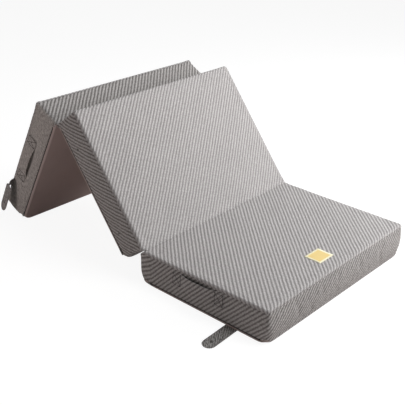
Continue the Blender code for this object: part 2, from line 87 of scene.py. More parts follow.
# Studio
# A white floor that runs on past the picture, a pale sky, and soft lamps: two from the right,
# one overhead and a weak one low on the left, so the left sides stay in shade.
floor_reach = 30.0
floor_drop = 0.0004
floor_seen_colour = (0.95, 0.95, 0.95, 1)
floor_bounce_colour = (0.68, 0.63, 0.61, 1)
floor_glow_strength = 1.16
floor_roughness = 0.9
white = (1.0, 1.0, 1.0, 1)
sky_strength = 0.12
lamp_aim = Vector((-0.1, 0.0, 0.2))
warm_white = (1.0, 0.88, 0.86)
lamps = (
    ("right_lamp", (2.2, 1.2, 1.3), 1.2, 27.0, white[:3]),
    ("top_lamp", (0.3, 0.3, 3.0), 1.5, 32.0, white[:3]),
    ("back_right_lamp", (1.2, 2.8, 1.8), 1.5, 103.0, white[:3]),
    ("low_left_lamp", (-1.6, -2.6, 0.5), 1.0, 11.0, warm_white),
)
shadow_share = 0.22


def link_object(name, mesh):
    """Puts a mesh in the scene as an object that sits at the origin."""
    made = bpy.data.objects.new(name, mesh)
    scene.collection.objects.link(made)
    return made


def new_material(name):
    """An empty node material; gives its node tree, its shader and the material."""
    made = bpy.data.materials.new(name)
    made.use_nodes = True
    tree = made.node_tree
    return tree, tree.nodes["Principled BSDF"], made


def set_inputs(tree, node, inputs):
    """Gives inputs of a node, by name or number, a plain value or a link from an output."""
    for key, value in inputs.items():
        value = value.socket if isinstance(value, Reading) else value
        if isinstance(value, bpy.types.NodeSocket):
            tree.links.new(value, node.inputs[key])
        else:
            node.inputs[key].default_value = value


def add_node(tree, kind, inputs=None, **settings):
    """A node with its settings and inputs."""
    made = tree.nodes.new(kind)
    for key, value in settings.items():
        setattr(made, key, value)
    set_inputs(tree, made, inputs or {})
    return made


def math_node(tree, operation, *values, clamp=False):
    """One sum on the way through a node tree; each value is a number, an output or a reading."""
    made = add_node(tree, "ShaderNodeMath", dict(enumerate(values)), operation=operation,
                    use_clamp=clamp)
    return Reading(tree, made.outputs[0])


class Reading:
    """A value on its way through a node tree; plus, minus, times and over make Math nodes."""

    def __init__(self, tree, socket):
        self.tree = tree
        self.socket = socket

    def __add__(self, other):
        return math_node(self.tree, "ADD", self, other)

    def __sub__(self, other):
        return math_node(self.tree, "SUBTRACT", self, other)

    def __rsub__(self, other):
        return math_node(self.tree, "SUBTRACT", other, self)

    def __mul__(self, other):
        return math_node(self.tree, "MULTIPLY", self, other)

    def __truediv__(self, other):
        return math_node(self.tree, "DIVIDE", self, other)


def mix_colours(tree, factor, low, high):
    """The colour between two others, each a colour or another output."""
    made = add_node(tree, "ShaderNodeMix", {0: factor, 6: low, 7: high}, data_type="RGBA")
    return made.outputs[2]


def seen_directly(tree):
    """1 where a ray comes from the camera, a reflection or glass, 0 for the light itself."""
    path = add_node(tree, "ShaderNodeLightPath").outputs
    straight = math_node(tree, "ADD", path["Is Camera Ray"], path["Is Glossy Ray"], clamp=True)
    return math_node(tree, "ADD", straight, path["Is Transmission Ray"], clamp=True)


floor_corners = ((-1, -1), (1, -1), (1, 1), (-1, 1))
floor_mesh = bpy.data.meshes.new("floor")
floor_mesh.from_pydata(
    [(x * floor_reach, y * floor_reach, -floor_drop) for x, y in floor_corners], [], [(0, 1, 2, 3)])
floor = link_object("floor", floor_mesh)
floor_tree, floor_shader, floor_material = new_material("studio_floor")
floor_sight = seen_directly(floor_tree)
set_inputs(floor_tree, floor_shader, {
    "Base Color": mix_colours(floor_tree, floor_sight, floor_bounce_colour, floor_seen_colour),
    "Roughness": floor_roughness,
    "Specular IOR Level": 0.0,
})
floor_glow = add_node(floor_tree, "ShaderNodeEmission",
                      {"Color": white, "Strength": floor_glow_strength})
floor_mix = add_node(floor_tree, "ShaderNodeMixShader", {
    0: floor_sight * (1 - shadow_share), 1: floor_shader.outputs[0], 2: floor_glow.outputs[0]})
set_inputs(floor_tree, floor_tree.nodes["Material Output"], {"Surface": floor_mix.outputs[0]})
floor_mesh.materials.append(floor_material)

world = bpy.data.worlds.new("studio_sky")
scene.world = world
world.use_nodes = True
world_tree = world.node_tree
sky = world_tree.nodes["Background"]
set_inputs(world_tree, sky, {"Color": white, "Strength": sky_strength})
white_sky = add_node(world_tree, "ShaderNodeBackground", {"Color": white, "Strength": 1.0})
sky_mix = add_node(world_tree, "ShaderNodeMixShader", {
    0: seen_directly(world_tree), 1: sky.outputs[0], 2: white_sky.outputs[0]})
set_inputs(world_tree, world_tree.nodes["World Output"], {"Surface": sky_mix.outputs[0]})

for name, place, size, power, colour in lamps:
    lamp_data = bpy.data.lights.new(name, "AREA")
    lamp_data.energy = power
    lamp_data.color = colour
    lamp_data.size = size
    lamp = bpy.data.objects.new(name, lamp_data)
    scene.collection.objects.link(lamp)
    lamp.location = place
    lamp.rotation_euler = (lamp_aim - Vector(place)).to_track_quat("-Z", "Y").to_euler()

scene.view_settings.view_transform = "Standard"

# Knitted cover of each panel: top cover, side band and hem
# A thick grey diagonal knit quilted to thin wadding. The top cover rolls over the rounded top
# edges and is sewn to the boxed side band, which meets the hem of the base cloth at the foot.
joints = {joint["name"]: joint for joint in frame["joints"]}
panel_names = ("front", "middle", "back")
band_low, band_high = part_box("front_side_band")
panel_length = band_high[0] - band_low[0]
panel_width = band_high[1] - band_low[1]
half_length = panel_length / 2
half_width = panel_width / 2
left_side = -half_width
panel_thickness = 0.150
crown_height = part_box("front_top_cover")[1][2] - panel_thickness
crown_run_share = 0.30
fold_half_gap = 0.001
fold_lift = 0.0005
corner_radius = 0.022
top_edge_radius = 0.012
fold_edge_radius = 0.0026
slack_end_radius = 0.012
side_belly = 0.003
seam_tuck = 0.0012
groove_top = 0.0163
groove_middle = 0.0125
groove_bottom = 0.0087
groove_depth = 0.0025
groove_slope = 0.0005
cloth_thickness = 0.0017
# The covers' surface: the size of its cells, and the steps over each rounded edge
cell = 0.006
edge_steps = 5

# The knit's ribs run aslant, each broken into short dashes
rib_spacing = 0.0149
dash_length = 0.0125
top_light_yarn = (0.522, 0.503, 0.500, 1)
top_dark_yarn = (0.272, 0.258, 0.256, 1)
band_light_yarn = (0.478, 0.460, 0.452, 1)
band_dark_yarn = (0.162, 0.151, 0.146, 1)
top_slant = math.radians(-43.3)
band_slant = math.radians(45)
# The back panel's left side shows the knit's finer face, in paler yarns: the finer pattern is the cloth's
# own, and the paleness is painted light that makes this side lighter than the other left sides
fine_spacing = rib_spacing / 2
fine_edge = 0.010
fine_heather = 1.5
fine_light_yarn_painted_light = (0.560, 0.530, 0.505, 1)
fine_dark_yarn_painted_light = (0.235, 0.218, 0.205, 1)
fine_relief = 0.0006
knit_relief = 0.0016
knit_sheen = 0.06
sheen_roughness = 0.6
cloth_gloss = 0.15
# Within the knit: how sharp the ribs and dashes are, how far each row of dashes is set over
# from the one before, how deep the gaps between dashes go, and what stands out or is rubbed
rib_sharpness = 1.8
dash_sharpness = 0.6
row_shift = 0.37
gap_depth = 0.40
heather = 0.55
rib_relief_share = 0.6
hair_relief_share = 0.22
knit_roughness = 0.98
rib_polish = 0.12
# Its unevenness, as (scale, amount): the ribs' drift, the yarn's hairs, loops and slubs, and
# blotches over all
slow_drift = (9, 0.20)
quick_drift = (80, 0.34)
hairs = (620, 0.9)
loops = (190, 1.3)
slubs = (150, 1.5)
slub_stretch = 0.45
blotches = (7, 0.12)

# The base cloth's yarns and threads, and the paler hem that it is sewn into
base_light = (0.590, 0.485, 0.465, 1)
base_dark = (0.460, 0.372, 0.354, 1)
base_threads = 900.0
weave_roughness = 0.95
rub_scale = 9
hem_light = (0.520, 0.430, 0.405, 1)
hem_dark = (0.400, 0.320, 0.300, 1)
hem_relief = 0.0004

# Slow waves of the quilting, the stuffed corners, the front panel's swelled fold end, and the
# hollows for the fingers behind the handles
wave_height = 0.0010
wave_lengths = (0.150, 0.055)
short_wave_share = 0.35
wave_shift = 3.1
foot_give = 0.014
held_foot_give = 0.002
head_give = 0.002
corner_reach = 0.024
corner_fill = 0.010
head_fill = 0.006
swell_reach = 0.055
swell_depth = 0.031
swell_at_foot = 0.45
swell_clearance = 0.003
swell_foot_share = 0.34
swell_narrows = 0.15
hollow_depth = 0.006
hollow_inset = 0.007
hollow_reach = 0.009
hollow_share = 0.42


def noise_value(tree, place, scale, detail=2.0):
    """A noise of this scale, from 0 to 1, over the place."""
    made = add_node(tree, "ShaderNodeTexNoise", {"Vector": place, "Scale": scale, "Detail": detail})
    return Reading(tree, made.outputs["Fac"])


def swing(value, amount):
    """Turns a value from 0 to 1 into a swing of this amount to both sides of 0."""
    return (value - 0.5) * amount


def uneven(tree, place, noise, detail=2.0):
    """A swing to both sides of 0 over the place, from a noise's (scale, amount)."""
    scale, amount = noise
    return swing(noise_value(tree, place, scale, detail), amount)


def half_waves(tree, count):
    """Rises from 0 to 1 and falls back once in each whole number of the count."""
    return math_node(tree, "SINE", math_node(tree, "FRACT", count) * math.pi)


def split_place(tree, place):
    """A place's readings along each of its three ways."""
    made = add_node(tree, "ShaderNodeSeparateXYZ", {0: place})
    return [Reading(tree, output) for output in made.outputs]


def shader_group(name, inputs, outputs):
    """A node group with these sockets; gives its tree, its inputs by name and its last node."""
    tree = bpy.data.node_groups.new(name, "ShaderNodeTree")
    for socket, kind, value in inputs:
        made = tree.interface.new_socket(socket, in_out="INPUT", socket_type="NodeSocket" + kind)
        if value is not None:
            made.default_value = value
    for socket, kind in outputs:
        tree.interface.new_socket(socket, in_out="OUTPUT", socket_type="NodeSocket" + kind)
    return tree, tree.nodes.new("NodeGroupInput").outputs, tree.nodes.new("NodeGroupOutput")


def diagonal_knit():
    """Raised ribs on the slant, each broken into short dashes, in a heathered yarn."""
    tree, source, result = shader_group("diagonal_knit", [
        ("Place", "Vector", None),
        ("Rib Spacing", "Float", rib_spacing),
        ("Dash Length", "Float", dash_length),
        ("Slant", "Float", 0.0),
        ("Light Yarn", "Color", top_light_yarn),
        ("Dark Yarn", "Color", top_dark_yarn),
        ("Heather", "Float", heather),
    ], [("Color", "Color"), ("Height", "Float"), ("Roughness", "Float")])
    place = source["Place"]
    x, y, _ = split_place(tree, place)
    cos = math_node(tree, "COSINE", source["Slant"])
    sin = math_node(tree, "SINE", source["Slant"])
    along = x * cos + y * sin
    across = y * cos - x * sin
    drift = uneven(tree, place, slow_drift) + uneven(tree, place, quick_drift)
    rib_count = across / source["Rib Spacing"] + drift
    row = math_node(tree, "FLOOR", rib_count)
    rib = math_node(tree, "POWER", half_waves(tree, rib_count), rib_sharpness)
    dash_count = along / source["Dash Length"] + row * row_shift
    dash = math_node(tree, "POWER", half_waves(tree, dash_count), dash_sharpness)
    mask = rib * (dash * gap_depth + (1 - gap_depth))
    hair = noise_value(tree, place, hairs[0], 3.0)
    run = add_node(tree, "ShaderNodeCombineXYZ", {0: along * slub_stretch, 1: across})
    fleck = (swing(hair, hairs[1]) + uneven(tree, place, loops)
             + uneven(tree, run.outputs[0], slubs, 1.0)) * source["Heather"]
    tone = math_node(tree, "ADD", mask, fleck, clamp=True)
    blotch = uneven(tree, place, blotches) + 1.0
    shade = add_node(tree, "ShaderNodeVectorMath", {
        0: mix_colours(tree, tone, source["Dark Yarn"], source["Light Yarn"]), "Scale": blotch,
    }, operation="SCALE")
    set_inputs(tree, result, {
        "Color": shade.outputs[0],
        "Height": rib * rib_relief_share + mask * (1 - rib_relief_share) + hair * hair_relief_share,
        "Roughness": knit_roughness - rib * rib_polish,
    })
    return tree


def plain_weave():
    """Fine crossing threads, one over and one under."""
    tree, source, result = shader_group("plain_weave", [
        ("Place", "Vector", None),
        ("Light Yarn", "Color", base_light),
        ("Dark Yarn", "Color", base_dark),
        ("Threads", "Float", base_threads),
    ], [("Color", "Color"), ("Height", "Float"), ("Roughness", "Float")])
    x, y, _ = split_place(tree, source["Place"])
    warp = math_node(tree, "SINE", x * source["Threads"])
    weft = math_node(tree, "SINE", y * source["Threads"])
    weave = warp * weft * 0.5 + 0.5
    rub = noise_value(tree, source["Place"], rub_scale, 4.0)
    tone = math_node(tree, "ADD", weave * 0.5, rub * 0.5, clamp=True)
    set_inputs(tree, result, {
        "Color": mix_colours(tree, tone, source["Dark Yarn"], source["Light Yarn"]),
        "Height": weave,
        "Roughness": weave_roughness - weave * 0.1,
    })
    return tree


def cloth_material(name, group, relief, sheen, **values):
    """A cloth finish: its group's colour, roughness and relief, with a soft fuzz."""
    tree, shader, made = new_material(name)
    inputs = {key.replace("_", " "): value for key, value in values.items()}
    inputs["Place"] = add_node(tree, "ShaderNodeTexCoord").outputs["UV"]
    weave = add_node(tree, "ShaderNodeGroup", inputs, node_tree=group).outputs
    bump = add_node(tree, "ShaderNodeBump",
                    {"Strength": 1.0, "Distance": relief, "Height": weave["Height"]})
    set_inputs(tree, shader, {
        "Base Color": weave["Color"],
        "Roughness": weave["Roughness"],
        "Normal": bump.outputs["Normal"],
        "Specular IOR Level": cloth_gloss,
        "Sheen Weight": sheen,
        "Sheen Roughness": sheen_roughness,
    })
    return made


knit_group = diagonal_knit()
weave_group = plain_weave()
top_knit = cloth_material("top_knit", knit_group, knit_relief, knit_sheen, Slant=top_slant)
band_knit = cloth_material("band_knit", knit_group, knit_relief, knit_sheen, Slant=band_slant,
                           Light_Yarn=band_light_yarn, Dark_Yarn=band_dark_yarn)
# The fine knit's paler yarns are painted light on the back panel's left side and its handle
fine_knit_painted_light = cloth_material("fine_band_knit_painted_light", knit_group, fine_relief, knit_sheen, Slant=band_slant,
                           Rib_Spacing=fine_spacing, Dash_Length=fine_spacing, Heather=fine_heather,
                           Light_Yarn=fine_light_yarn_painted_light, Dark_Yarn=fine_dark_yarn_painted_light)
hem_cloth = cloth_material("hem_cloth", weave_group, hem_relief, knit_sheen, Light_Yarn=hem_light,
                           Dark_Yarn=hem_dark)

# Where each panel lies: the middle of its underside, and the way its length runs
front_fold = Vector(joints["front_fold"]["pos_m"])
back_fold = Vector(joints["back_fold"]["pos_m"])
half_reach = half_length + fold_half_gap


def panel_frame(fold, along, across_z):
    """A panel's frame, from its fold line at the high end and the way its length runs."""
    along = Vector(along).normalized()
    up = along.cross(Vector((0, 1, 0)))
    turn = Matrix((along, Vector((0, 1, 0)), up)).transposed().to_4x4()
    return Matrix.Translation(fold - along * half_reach + up * across_z) @ turn


panel_frames = {
    "front": Matrix.Identity(4),
    "middle": panel_frame(front_fold, -Vector(joints["middle_zip_slide"]["axis"]),
                          -panel_thickness - fold_lift),
    "back": panel_frame(back_fold, joints["back_zip_slide"]["axis"], fold_lift),
}

# Which end is a fold along its top edge, and which along its bottom edge
top_fold_end = {"front": -1, "middle": 1, "back": 1}
top_fold_radius = {"front": fold_edge_radius, "middle": fold_edge_radius, "back": slack_end_radius}
bottom_fold_end = {"front": 0, "middle": -1, "back": 1}


def grid_stops(length, low_radius, high_radius, cell):
    """Grid lines across a face, closer on each end's arc, and how far each is over the cloth."""
    def arc(radius):
        turns = [math.pi / 2 * k / edge_steps for k in range(edge_steps)]
        return [(radius * (1 - math.cos(a)), radius * (a - math.pi / 2 + 1)) for a in turns]

    flat = length - low_radius - high_radius
    count = round(flat / cell)
    even = [(low_radius + flat * k / count,) * 2 for k in range(count + 1)]
    ends = [(length - place, length - cloth) for place, cloth in reversed(arc(high_radius))]
    stops = np.array(arc(low_radius) + even + ends) - length / 2
    return stops[:, 0], stops[:, 1]


def eased(share):
    """A share from 0 to 1 that starts and ends gently."""
    return share * share * (3 - 2 * share)


def end_share(out_x, end):
    """1 where the outline faces the end with this sign, 0 elsewhere or without an end."""
    return np.where(out_x * end > 0, out_x ** 2, 0.0) if end else np.zeros_like(out_x)


def rounded_plan(x, y):
    """Bends a rectangle's corners to arcs; gives the place, the way out and the distance in."""
    straight_x, straight_y = half_length - corner_radius, half_width - corner_radius
    past_x = np.clip(np.abs(x) - straight_x, 0, None)
    past_y = np.clip(np.abs(y) - straight_y, 0, None)
    length = np.maximum(np.hypot(past_x, past_y), 1e-9)
    scale = np.maximum(past_x, past_y) / length
    new_x = np.sign(x) * (np.minimum(np.abs(x), straight_x) + past_x * scale)
    new_y = np.sign(y) * (np.minimum(np.abs(y), straight_y) + past_y * scale)
    inwards = np.minimum(half_length - np.abs(x), half_width - np.abs(y))
    return new_x, new_y, np.sign(x) * past_x / length, np.sign(y) * past_y / length, inwards


def drawn_in(plan, inset, height):
    """Points on the rounded plan, drawn inwards by the inset, at a height."""
    x, y, out_x, out_y, _ = plan
    places = np.broadcast_arrays(x - out_x * inset, y - out_y * inset, height)
    return np.stack(places, axis=-1)


def face_points(panel, x, y, top):
    """The top or bottom face of a panel, with its rounded edge and, on top, its crown."""
    plan = rounded_plan(x, y)
    out_x, inwards = plan[2], plan[4]
    if top:
        share = end_share(out_x, top_fold_end[panel])
        radius = top_edge_radius + (top_fold_radius[panel] - top_edge_radius) * share
    else:
        share = end_share(out_x, bottom_fold_end[panel])
        radius = groove_bottom + (fold_edge_radius - groove_bottom) * share
    drawn = side_belly * (1 - share) * np.clip(1 - inwards / corner_radius, 0, 1) ** 2
    into_arc = np.clip(radius - inwards, 0, None)
    height = radius - np.sqrt(np.maximum(radius ** 2 - into_arc ** 2, 0))
    if top:
        run = np.clip(inwards / (crown_run_share * panel_length), 0, 1)
        height = panel_thickness + crown_height * (1 - (1 - run) ** 2) - height
        drawn = drawn + np.where(inwards < 1e-6, seam_tuck * (1 - share), 0)
    return drawn_in(plan, drawn, height)


def wall_rings(panel, x, y, shares):
    """The boxed side's rings, from under the top seam down to the groove, slightly bellied."""
    plan = rounded_plan(x, y)
    above = end_share(plan[2], top_fold_end[panel])
    below = end_share(plan[2], bottom_fold_end[panel])
    high = panel_thickness - top_edge_radius - (top_fold_radius[panel] - top_edge_radius) * above
    rings = []
    for share in shares:
        turn = eased(share)
        drawn = side_belly * (1 - above * (1 - turn) - below * turn)
        inset = drawn * (1 - math.sin(math.pi * share))
        height = high + (groove_top - high) * share
        rings.append(drawn_in(plan, inset, height))
    return rings


def groove_rings(panel, x, y, places):
    """Rings round the foot, given by height and depth; only the left side has the zip's groove."""
    plan = rounded_plan(x, y)
    drawn = side_belly * (1 - end_share(plan[2], bottom_fold_end[panel]))
    open_side = np.where(plan[3] < 0, plan[3] ** 2, 0.0)
    return [drawn_in(plan, drawn + depth * open_side, height) for height, depth in places]


def slow_waves(panel, points):
    """How much each point is lifted by long and short waves that differ from panel to panel."""
    shift = wave_shift * panel_names.index(panel)
    lifts = []
    for x, y, z in points.reshape(-1, 3):
        place = Vector((x, y, z + shift))
        long_wave = mathutils_noise.noise(place / wave_lengths[0])
        short_wave = mathutils_noise.noise(place / wave_lengths[1])
        lifts.append(wave_height * (long_wave + short_wave_share * short_wave))
    return np.array(lifts).reshape(points.shape[:-1])


def swell(points):
    """Pushes the front panel's fold end out into the open wedge below the fold line."""
    x, z = points[..., 0], points[..., 2]
    near_end = eased(np.clip((-half_length + swell_reach - x) / swell_reach, 0, 1))
    up = np.clip(z / (panel_thickness * swell_foot_share), 0, 1)
    shape = swell_depth * (swell_at_foot + (1 - swell_at_foot) * (1 - (1 - up) ** 2))
    lean = Vector(panel_frames["middle"].col[0][:3])
    room = np.clip((front_fold.z - z) * abs(lean.z) / abs(lean.x) - swell_clearance, 0, None)
    push = np.minimum(shape, room) * near_end
    moved = points.copy()
    moved[..., 0] -= push
    at_side = np.clip(1 - (half_width - np.abs(points[..., 1])) / swell_reach, 0, 1)
    moved[..., 1] -= np.sign(points[..., 1]) * swell_narrows * push * at_side
    return moved


def near_corner(points, end, side, height):
    """1 at a corner of the panel, falling to 0 some centimetres away from it."""
    tip = np.array([end * half_length, side * half_width, height])
    apart = np.linalg.norm(points - tip, axis=-1, keepdims=True)
    return np.exp(-(apart / corner_reach) ** 2)


def fill_fold_corners(panel, points):
    """Squares up the top corners, and most of all the corners that a fold joins."""
    fold_end = top_fold_end[panel]
    held = [(fold_end, panel_thickness, corner_fill), (-fold_end, panel_thickness, head_fill)]
    held += [(bottom_fold_end[panel], 0.0, corner_fill)] if bottom_fold_end[panel] else []
    half = np.array([half_length, half_width])
    moved = points.copy()
    for end, height, fill in held:
        for side in (-1, 1):
            way = np.array([end, side]) / math.sqrt(2)
            push = fill * way * near_corner(points, end, side, height)
            limit = np.maximum(np.abs(moved[..., :2]), half)
            moved[..., :2] = np.clip(moved[..., :2] + push, -limit, limit)
    return moved


def soften(panel, points):
    """Lets the stuffed corners give way inwards, but for those that a fold holds."""
    moved = points.copy()
    for end in (-1, 1):
        pressed = panel == "front" and end == top_fold_end[panel]
        gives = []
        if end != bottom_fold_end[panel]:
            gives.append((0.0, 1, held_foot_give if pressed else foot_give))
        if end != top_fold_end[panel]:
            gives.append((panel_thickness, -1, head_give))
        for side in (-1, 1):
            for height, rise, give in gives:
                inside = np.array([-end, -side, rise]) / math.sqrt(3)
                moved += inside * give * near_corner(points, end, side, height)
    return moved


def finger_hollows(panel, points):
    """Presses the side in a little behind both edges of a handle, where the fingers go."""
    node = f"{panel}_handle"
    if node not in sewn_on[panel]:
        return points
    low, high = box_in_panel(panel, node)
    from_middle = np.abs(points[:, 0] - (low[0] + high[0]) / 2) / (hollow_share * (high[0] - low[0]))
    ease = np.clip(1 - from_middle ** 2, 0, 1) * (points[:, 1] < left_side + corner_radius)
    moved = points.copy()
    for height in (low[2] + hollow_inset, high[2] - hollow_inset):
        moved[:, 1] += hollow_depth * ease * np.exp(-((points[:, 2] - height) / hollow_reach) ** 2)
    return moved


class Skin:
    """A panel's outer surface: a top grid, rings down the side to the groove, a bottom grid."""

    def __init__(self, panel, cell):
        ends = {top_fold_end[panel]: top_fold_radius[panel]}
        stops_x, cloth_x = grid_stops(
            panel_length, ends.get(-1, top_edge_radius), ends.get(1, top_edge_radius), cell)
        stops_y, cloth_y = grid_stops(panel_width, top_edge_radius, top_edge_radius, cell)
        columns, rows = len(stops_x), len(stops_y)
        grid = np.arange(columns * rows).reshape(columns, rows)
        rim = np.concatenate([grid[:-1, 0], grid[-1, :-1], grid[:0:-1, -1], grid[0, :0:-1]])
        grid_x, grid_y = np.meshgrid(stops_x, stops_y, indexing="ij")
        rim_x, rim_y = grid_x.ravel()[rim], grid_y.ravel()[rim]
        wall_count = round((panel_thickness - top_edge_radius - groove_top) / cell)
        wall = wall_rings(panel, rim_x, rim_y, [k / wall_count for k in range(1, wall_count + 1)])
        band_foot = groove_rings(panel, rim_x, rim_y, [
            (groove_top - groove_slope, groove_depth), (groove_middle, groove_depth)])
        hem_head = groove_rings(panel, rim_x, rim_y, [
            (groove_middle, groove_depth), (groove_bottom + groove_slope, groove_depth)])
        rings = wall + band_foot + hem_head
        top = face_points(panel, grid_x, grid_y, True).reshape(-1, 3)
        bottom = face_points(panel, grid_x, grid_y, False).reshape(-1, 3)
        self.points = np.concatenate([top] + rings + [bottom])
        first = columns * rows
        ring_rows = [first + k * len(rim) + np.arange(len(rim)) for k in range(len(rings))]
        self.top_grid = grid
        self.bottom_grid = grid + first + len(rings) * len(rim)
        self.band_rings = [rim] + ring_rows[:len(wall) + 2]
        self.hem_rings = ring_rows[len(wall) + 2:] + [rim + self.bottom_grid[0, 0]]
        self.wall_rings = ring_rows[:len(wall)]

        # Places over the cloth for the pattern: along and across a face, or round and up a side
        self.plan = np.zeros((len(self.points), 2))
        face_places = np.stack(np.meshgrid(cloth_x, cloth_y, indexing="ij"), axis=-1).reshape(-1, 2)
        self.plan[grid.ravel()] = face_places
        self.plan[self.bottom_grid.ravel()] = face_places
        seam = self.points[self.wall_rings[-1]]
        steps = np.hypot(*(np.roll(seam, -1, axis=0) - seam)[:, :2].T)
        repeat = rib_spacing / abs(math.sin(band_slant))
        fit = round(steps.sum() / repeat) * repeat / steps.sum()
        self.round = steps.sum() * fit
        round_places = np.concatenate([[0.0], np.cumsum(steps)[:-1]]) * fit
        self.side = np.zeros((len(self.points), 2))
        for ring in self.band_rings + self.hem_rings:
            self.side[ring] = np.stack([round_places, self.points[ring][:, 2]], axis=-1)
        self.turn_under(cloth_x, cloth_y, round_places, rim)

    def turn_under(self, cloth_x, cloth_y, round_places, rim):
        """The side's pattern carried on under the foot, from the nearest place on the rim."""
        at_rim = np.zeros(self.top_grid.shape)
        at_rim.ravel()[rim] = round_places
        columns, rows = at_rim.shape
        column, row = np.meshgrid(np.arange(columns), np.arange(rows), indexing="ij")
        x, y = cloth_x[column], cloth_y[row]
        ways = np.stack([x - cloth_x[0], cloth_x[-1] - x, y - cloth_y[0], cloth_y[-1] - y])
        edges = [at_rim[0, row], at_rim[-1, row], at_rim[column, 0], at_rim[column, -1]]
        places = np.choose(ways.argmin(axis=0), edges)
        depth = groove_bottom - ways.min(axis=0)
        self.side[self.bottom_grid.ravel()] = np.stack([places.ravel(), depth.ravel()], axis=-1)

    def side_pattern(self, quads):
        """The side's pattern at each face corner; a face over the first place runs on past it."""
        pattern = self.side[quads]
        wraps = np.ptp(pattern[..., 0], axis=1) > self.round / 2
        low = wraps[:, None] & (pattern[..., 0] < self.round / 2)
        pattern[..., 0] = np.where(low, pattern[..., 0] + self.round, pattern[..., 0])
        return pattern


def grid_quads(grid):
    """The faces of a grid of point numbers, turned upwards."""
    return np.stack([grid[:-1, :-1], grid[1:, :-1], grid[1:, 1:], grid[:-1, 1:]], axis=-1).reshape(-1, 4)


def ring_quads(rings):
    """The faces between rings of point numbers, from the highest down, turned outwards."""
    return np.concatenate([
        np.stack([upper, lower, np.roll(lower, -1), np.roll(upper, -1)], axis=-1)
        for upper, lower in zip(rings, rings[1:])])


def shell_quads(skin, band_rings):
    """The faces of a whole skin, closed from the last of these rings down to its foot."""
    rings = ring_quads(band_rings + skin.hem_rings[-1:])
    return np.concatenate([grid_quads(skin.top_grid), grid_quads(skin.bottom_grid)[:, ::-1], rings])


def mesh_of(name, points, quads):
    """A mesh of some of a surface's faces; gives it and the numbers of the points it uses."""
    used, local = np.unique(quads, return_inverse=True)
    mesh = bpy.data.meshes.new(name)
    mesh.from_pydata(points[used].tolist(), [], local.reshape(-1, 4).tolist())
    return mesh, used


def piece_of_cloth(name, points, quads, pattern, material, place):
    """A cloth piece from some of a surface's faces, set in place and given its thickness."""
    mesh, _ = mesh_of(name, points, quads)
    mesh.transform(place)
    layer = mesh.uv_layers.new(name="UVMap")
    layer.data.foreach_set("uv", pattern.reshape(-1).astype(np.float32))
    mesh.materials.append(material)
    mesh.shade_smooth()
    made = link_object(name, mesh)
    thick = made.modifiers.new("cloth thickness", "SOLIDIFY")
    thick.thickness = cloth_thickness
    thick.offset = -1
    return made


# What is sewn on each cover and holds it down
sewn_on = {
    "front": ("front_handle", "front_strap_root", "care_label"),
    "middle": ("front_strap_stud", "back_strap_stud"),
    "back": ("back_handle", "back_strap_root"),
}
hold_reach = 0.030
fold_hold_run = 0.060
# A settled top is lowered until this percentage of its waves is under the crown, and fully so
# from this far inside its edges. It also stays under a slope that rises slowly from its fold.
wave_crests = 98
level_run = 0.050
fold_wedge = 0.0253
fold_clearance = 0.0002


def box_in_panel(panel, node):
    """A node's lowest and highest corner in its panel's own frame."""
    back_in = panel_frames[panel].inverted()
    places = np.array([back_in @ vertex.co for vertex in frame["nodes"][node].data.vertices])
    return places.min(axis=0), places.max(axis=0)


def freedom(panel, points):
    """0 where something sewn on holds the cover down, rising smoothly to 1 away from it."""
    free = np.ones(len(points))
    for node in sewn_on[panel]:
        low, high = box_in_panel(panel, node)
        outside = np.maximum(np.maximum(low - points, points - high), 0)
        near = np.clip(np.linalg.norm(outside, axis=1) / hold_reach, 0, 1)
        free = np.minimum(free, eased(near))
    for end, reach in ((top_fold_end[panel], fold_hold_run), (bottom_fold_end[panel], corner_radius)):
        near = np.clip((half_length - end * points[:, 0]) / reach, 0, 1) if end else 1.0
        free = np.minimum(free, eased(near))
    return free[:, None]


def level_top(panel, points, rest, free, places):
    """Lowers a settled top until its waves stand no higher than the crown it started from."""
    risen = points[places, 2] - rest[places, 2]
    x, y, _ = rest[places].T
    inwards = np.minimum(half_length - np.abs(x), half_width - np.abs(y))
    ramp = eased(np.clip(inwards / level_run, 0, 1))
    inner = risen[inwards > level_run]
    risen += ramp * (inner.mean() * (1 - free[places, 0]) - np.percentile(inner, wave_crests))
    limit = np.full_like(risen, crown_height)
    if panel != "back":
        limit = np.minimum(limit, fold_wedge * (half_length - top_fold_end[panel] * x))
    points[places, 2] = np.minimum(rest[places, 2] + risen, panel_thickness + limit - fold_clearance)


# The slack of the cloth, found by a cloth simulation over a coarser skin of each panel
slack_cell = 0.018
pressure = 4.0
stretch_stiffness = 12.0
bending_stiffness = 0.6
spare_cloth = -0.012
hold_inside = 0.05
hold_stiffness = 0.6
settle_frames = 20
most_slack = 0.0035
slack_reach = 0.012
slack_neighbours = 10


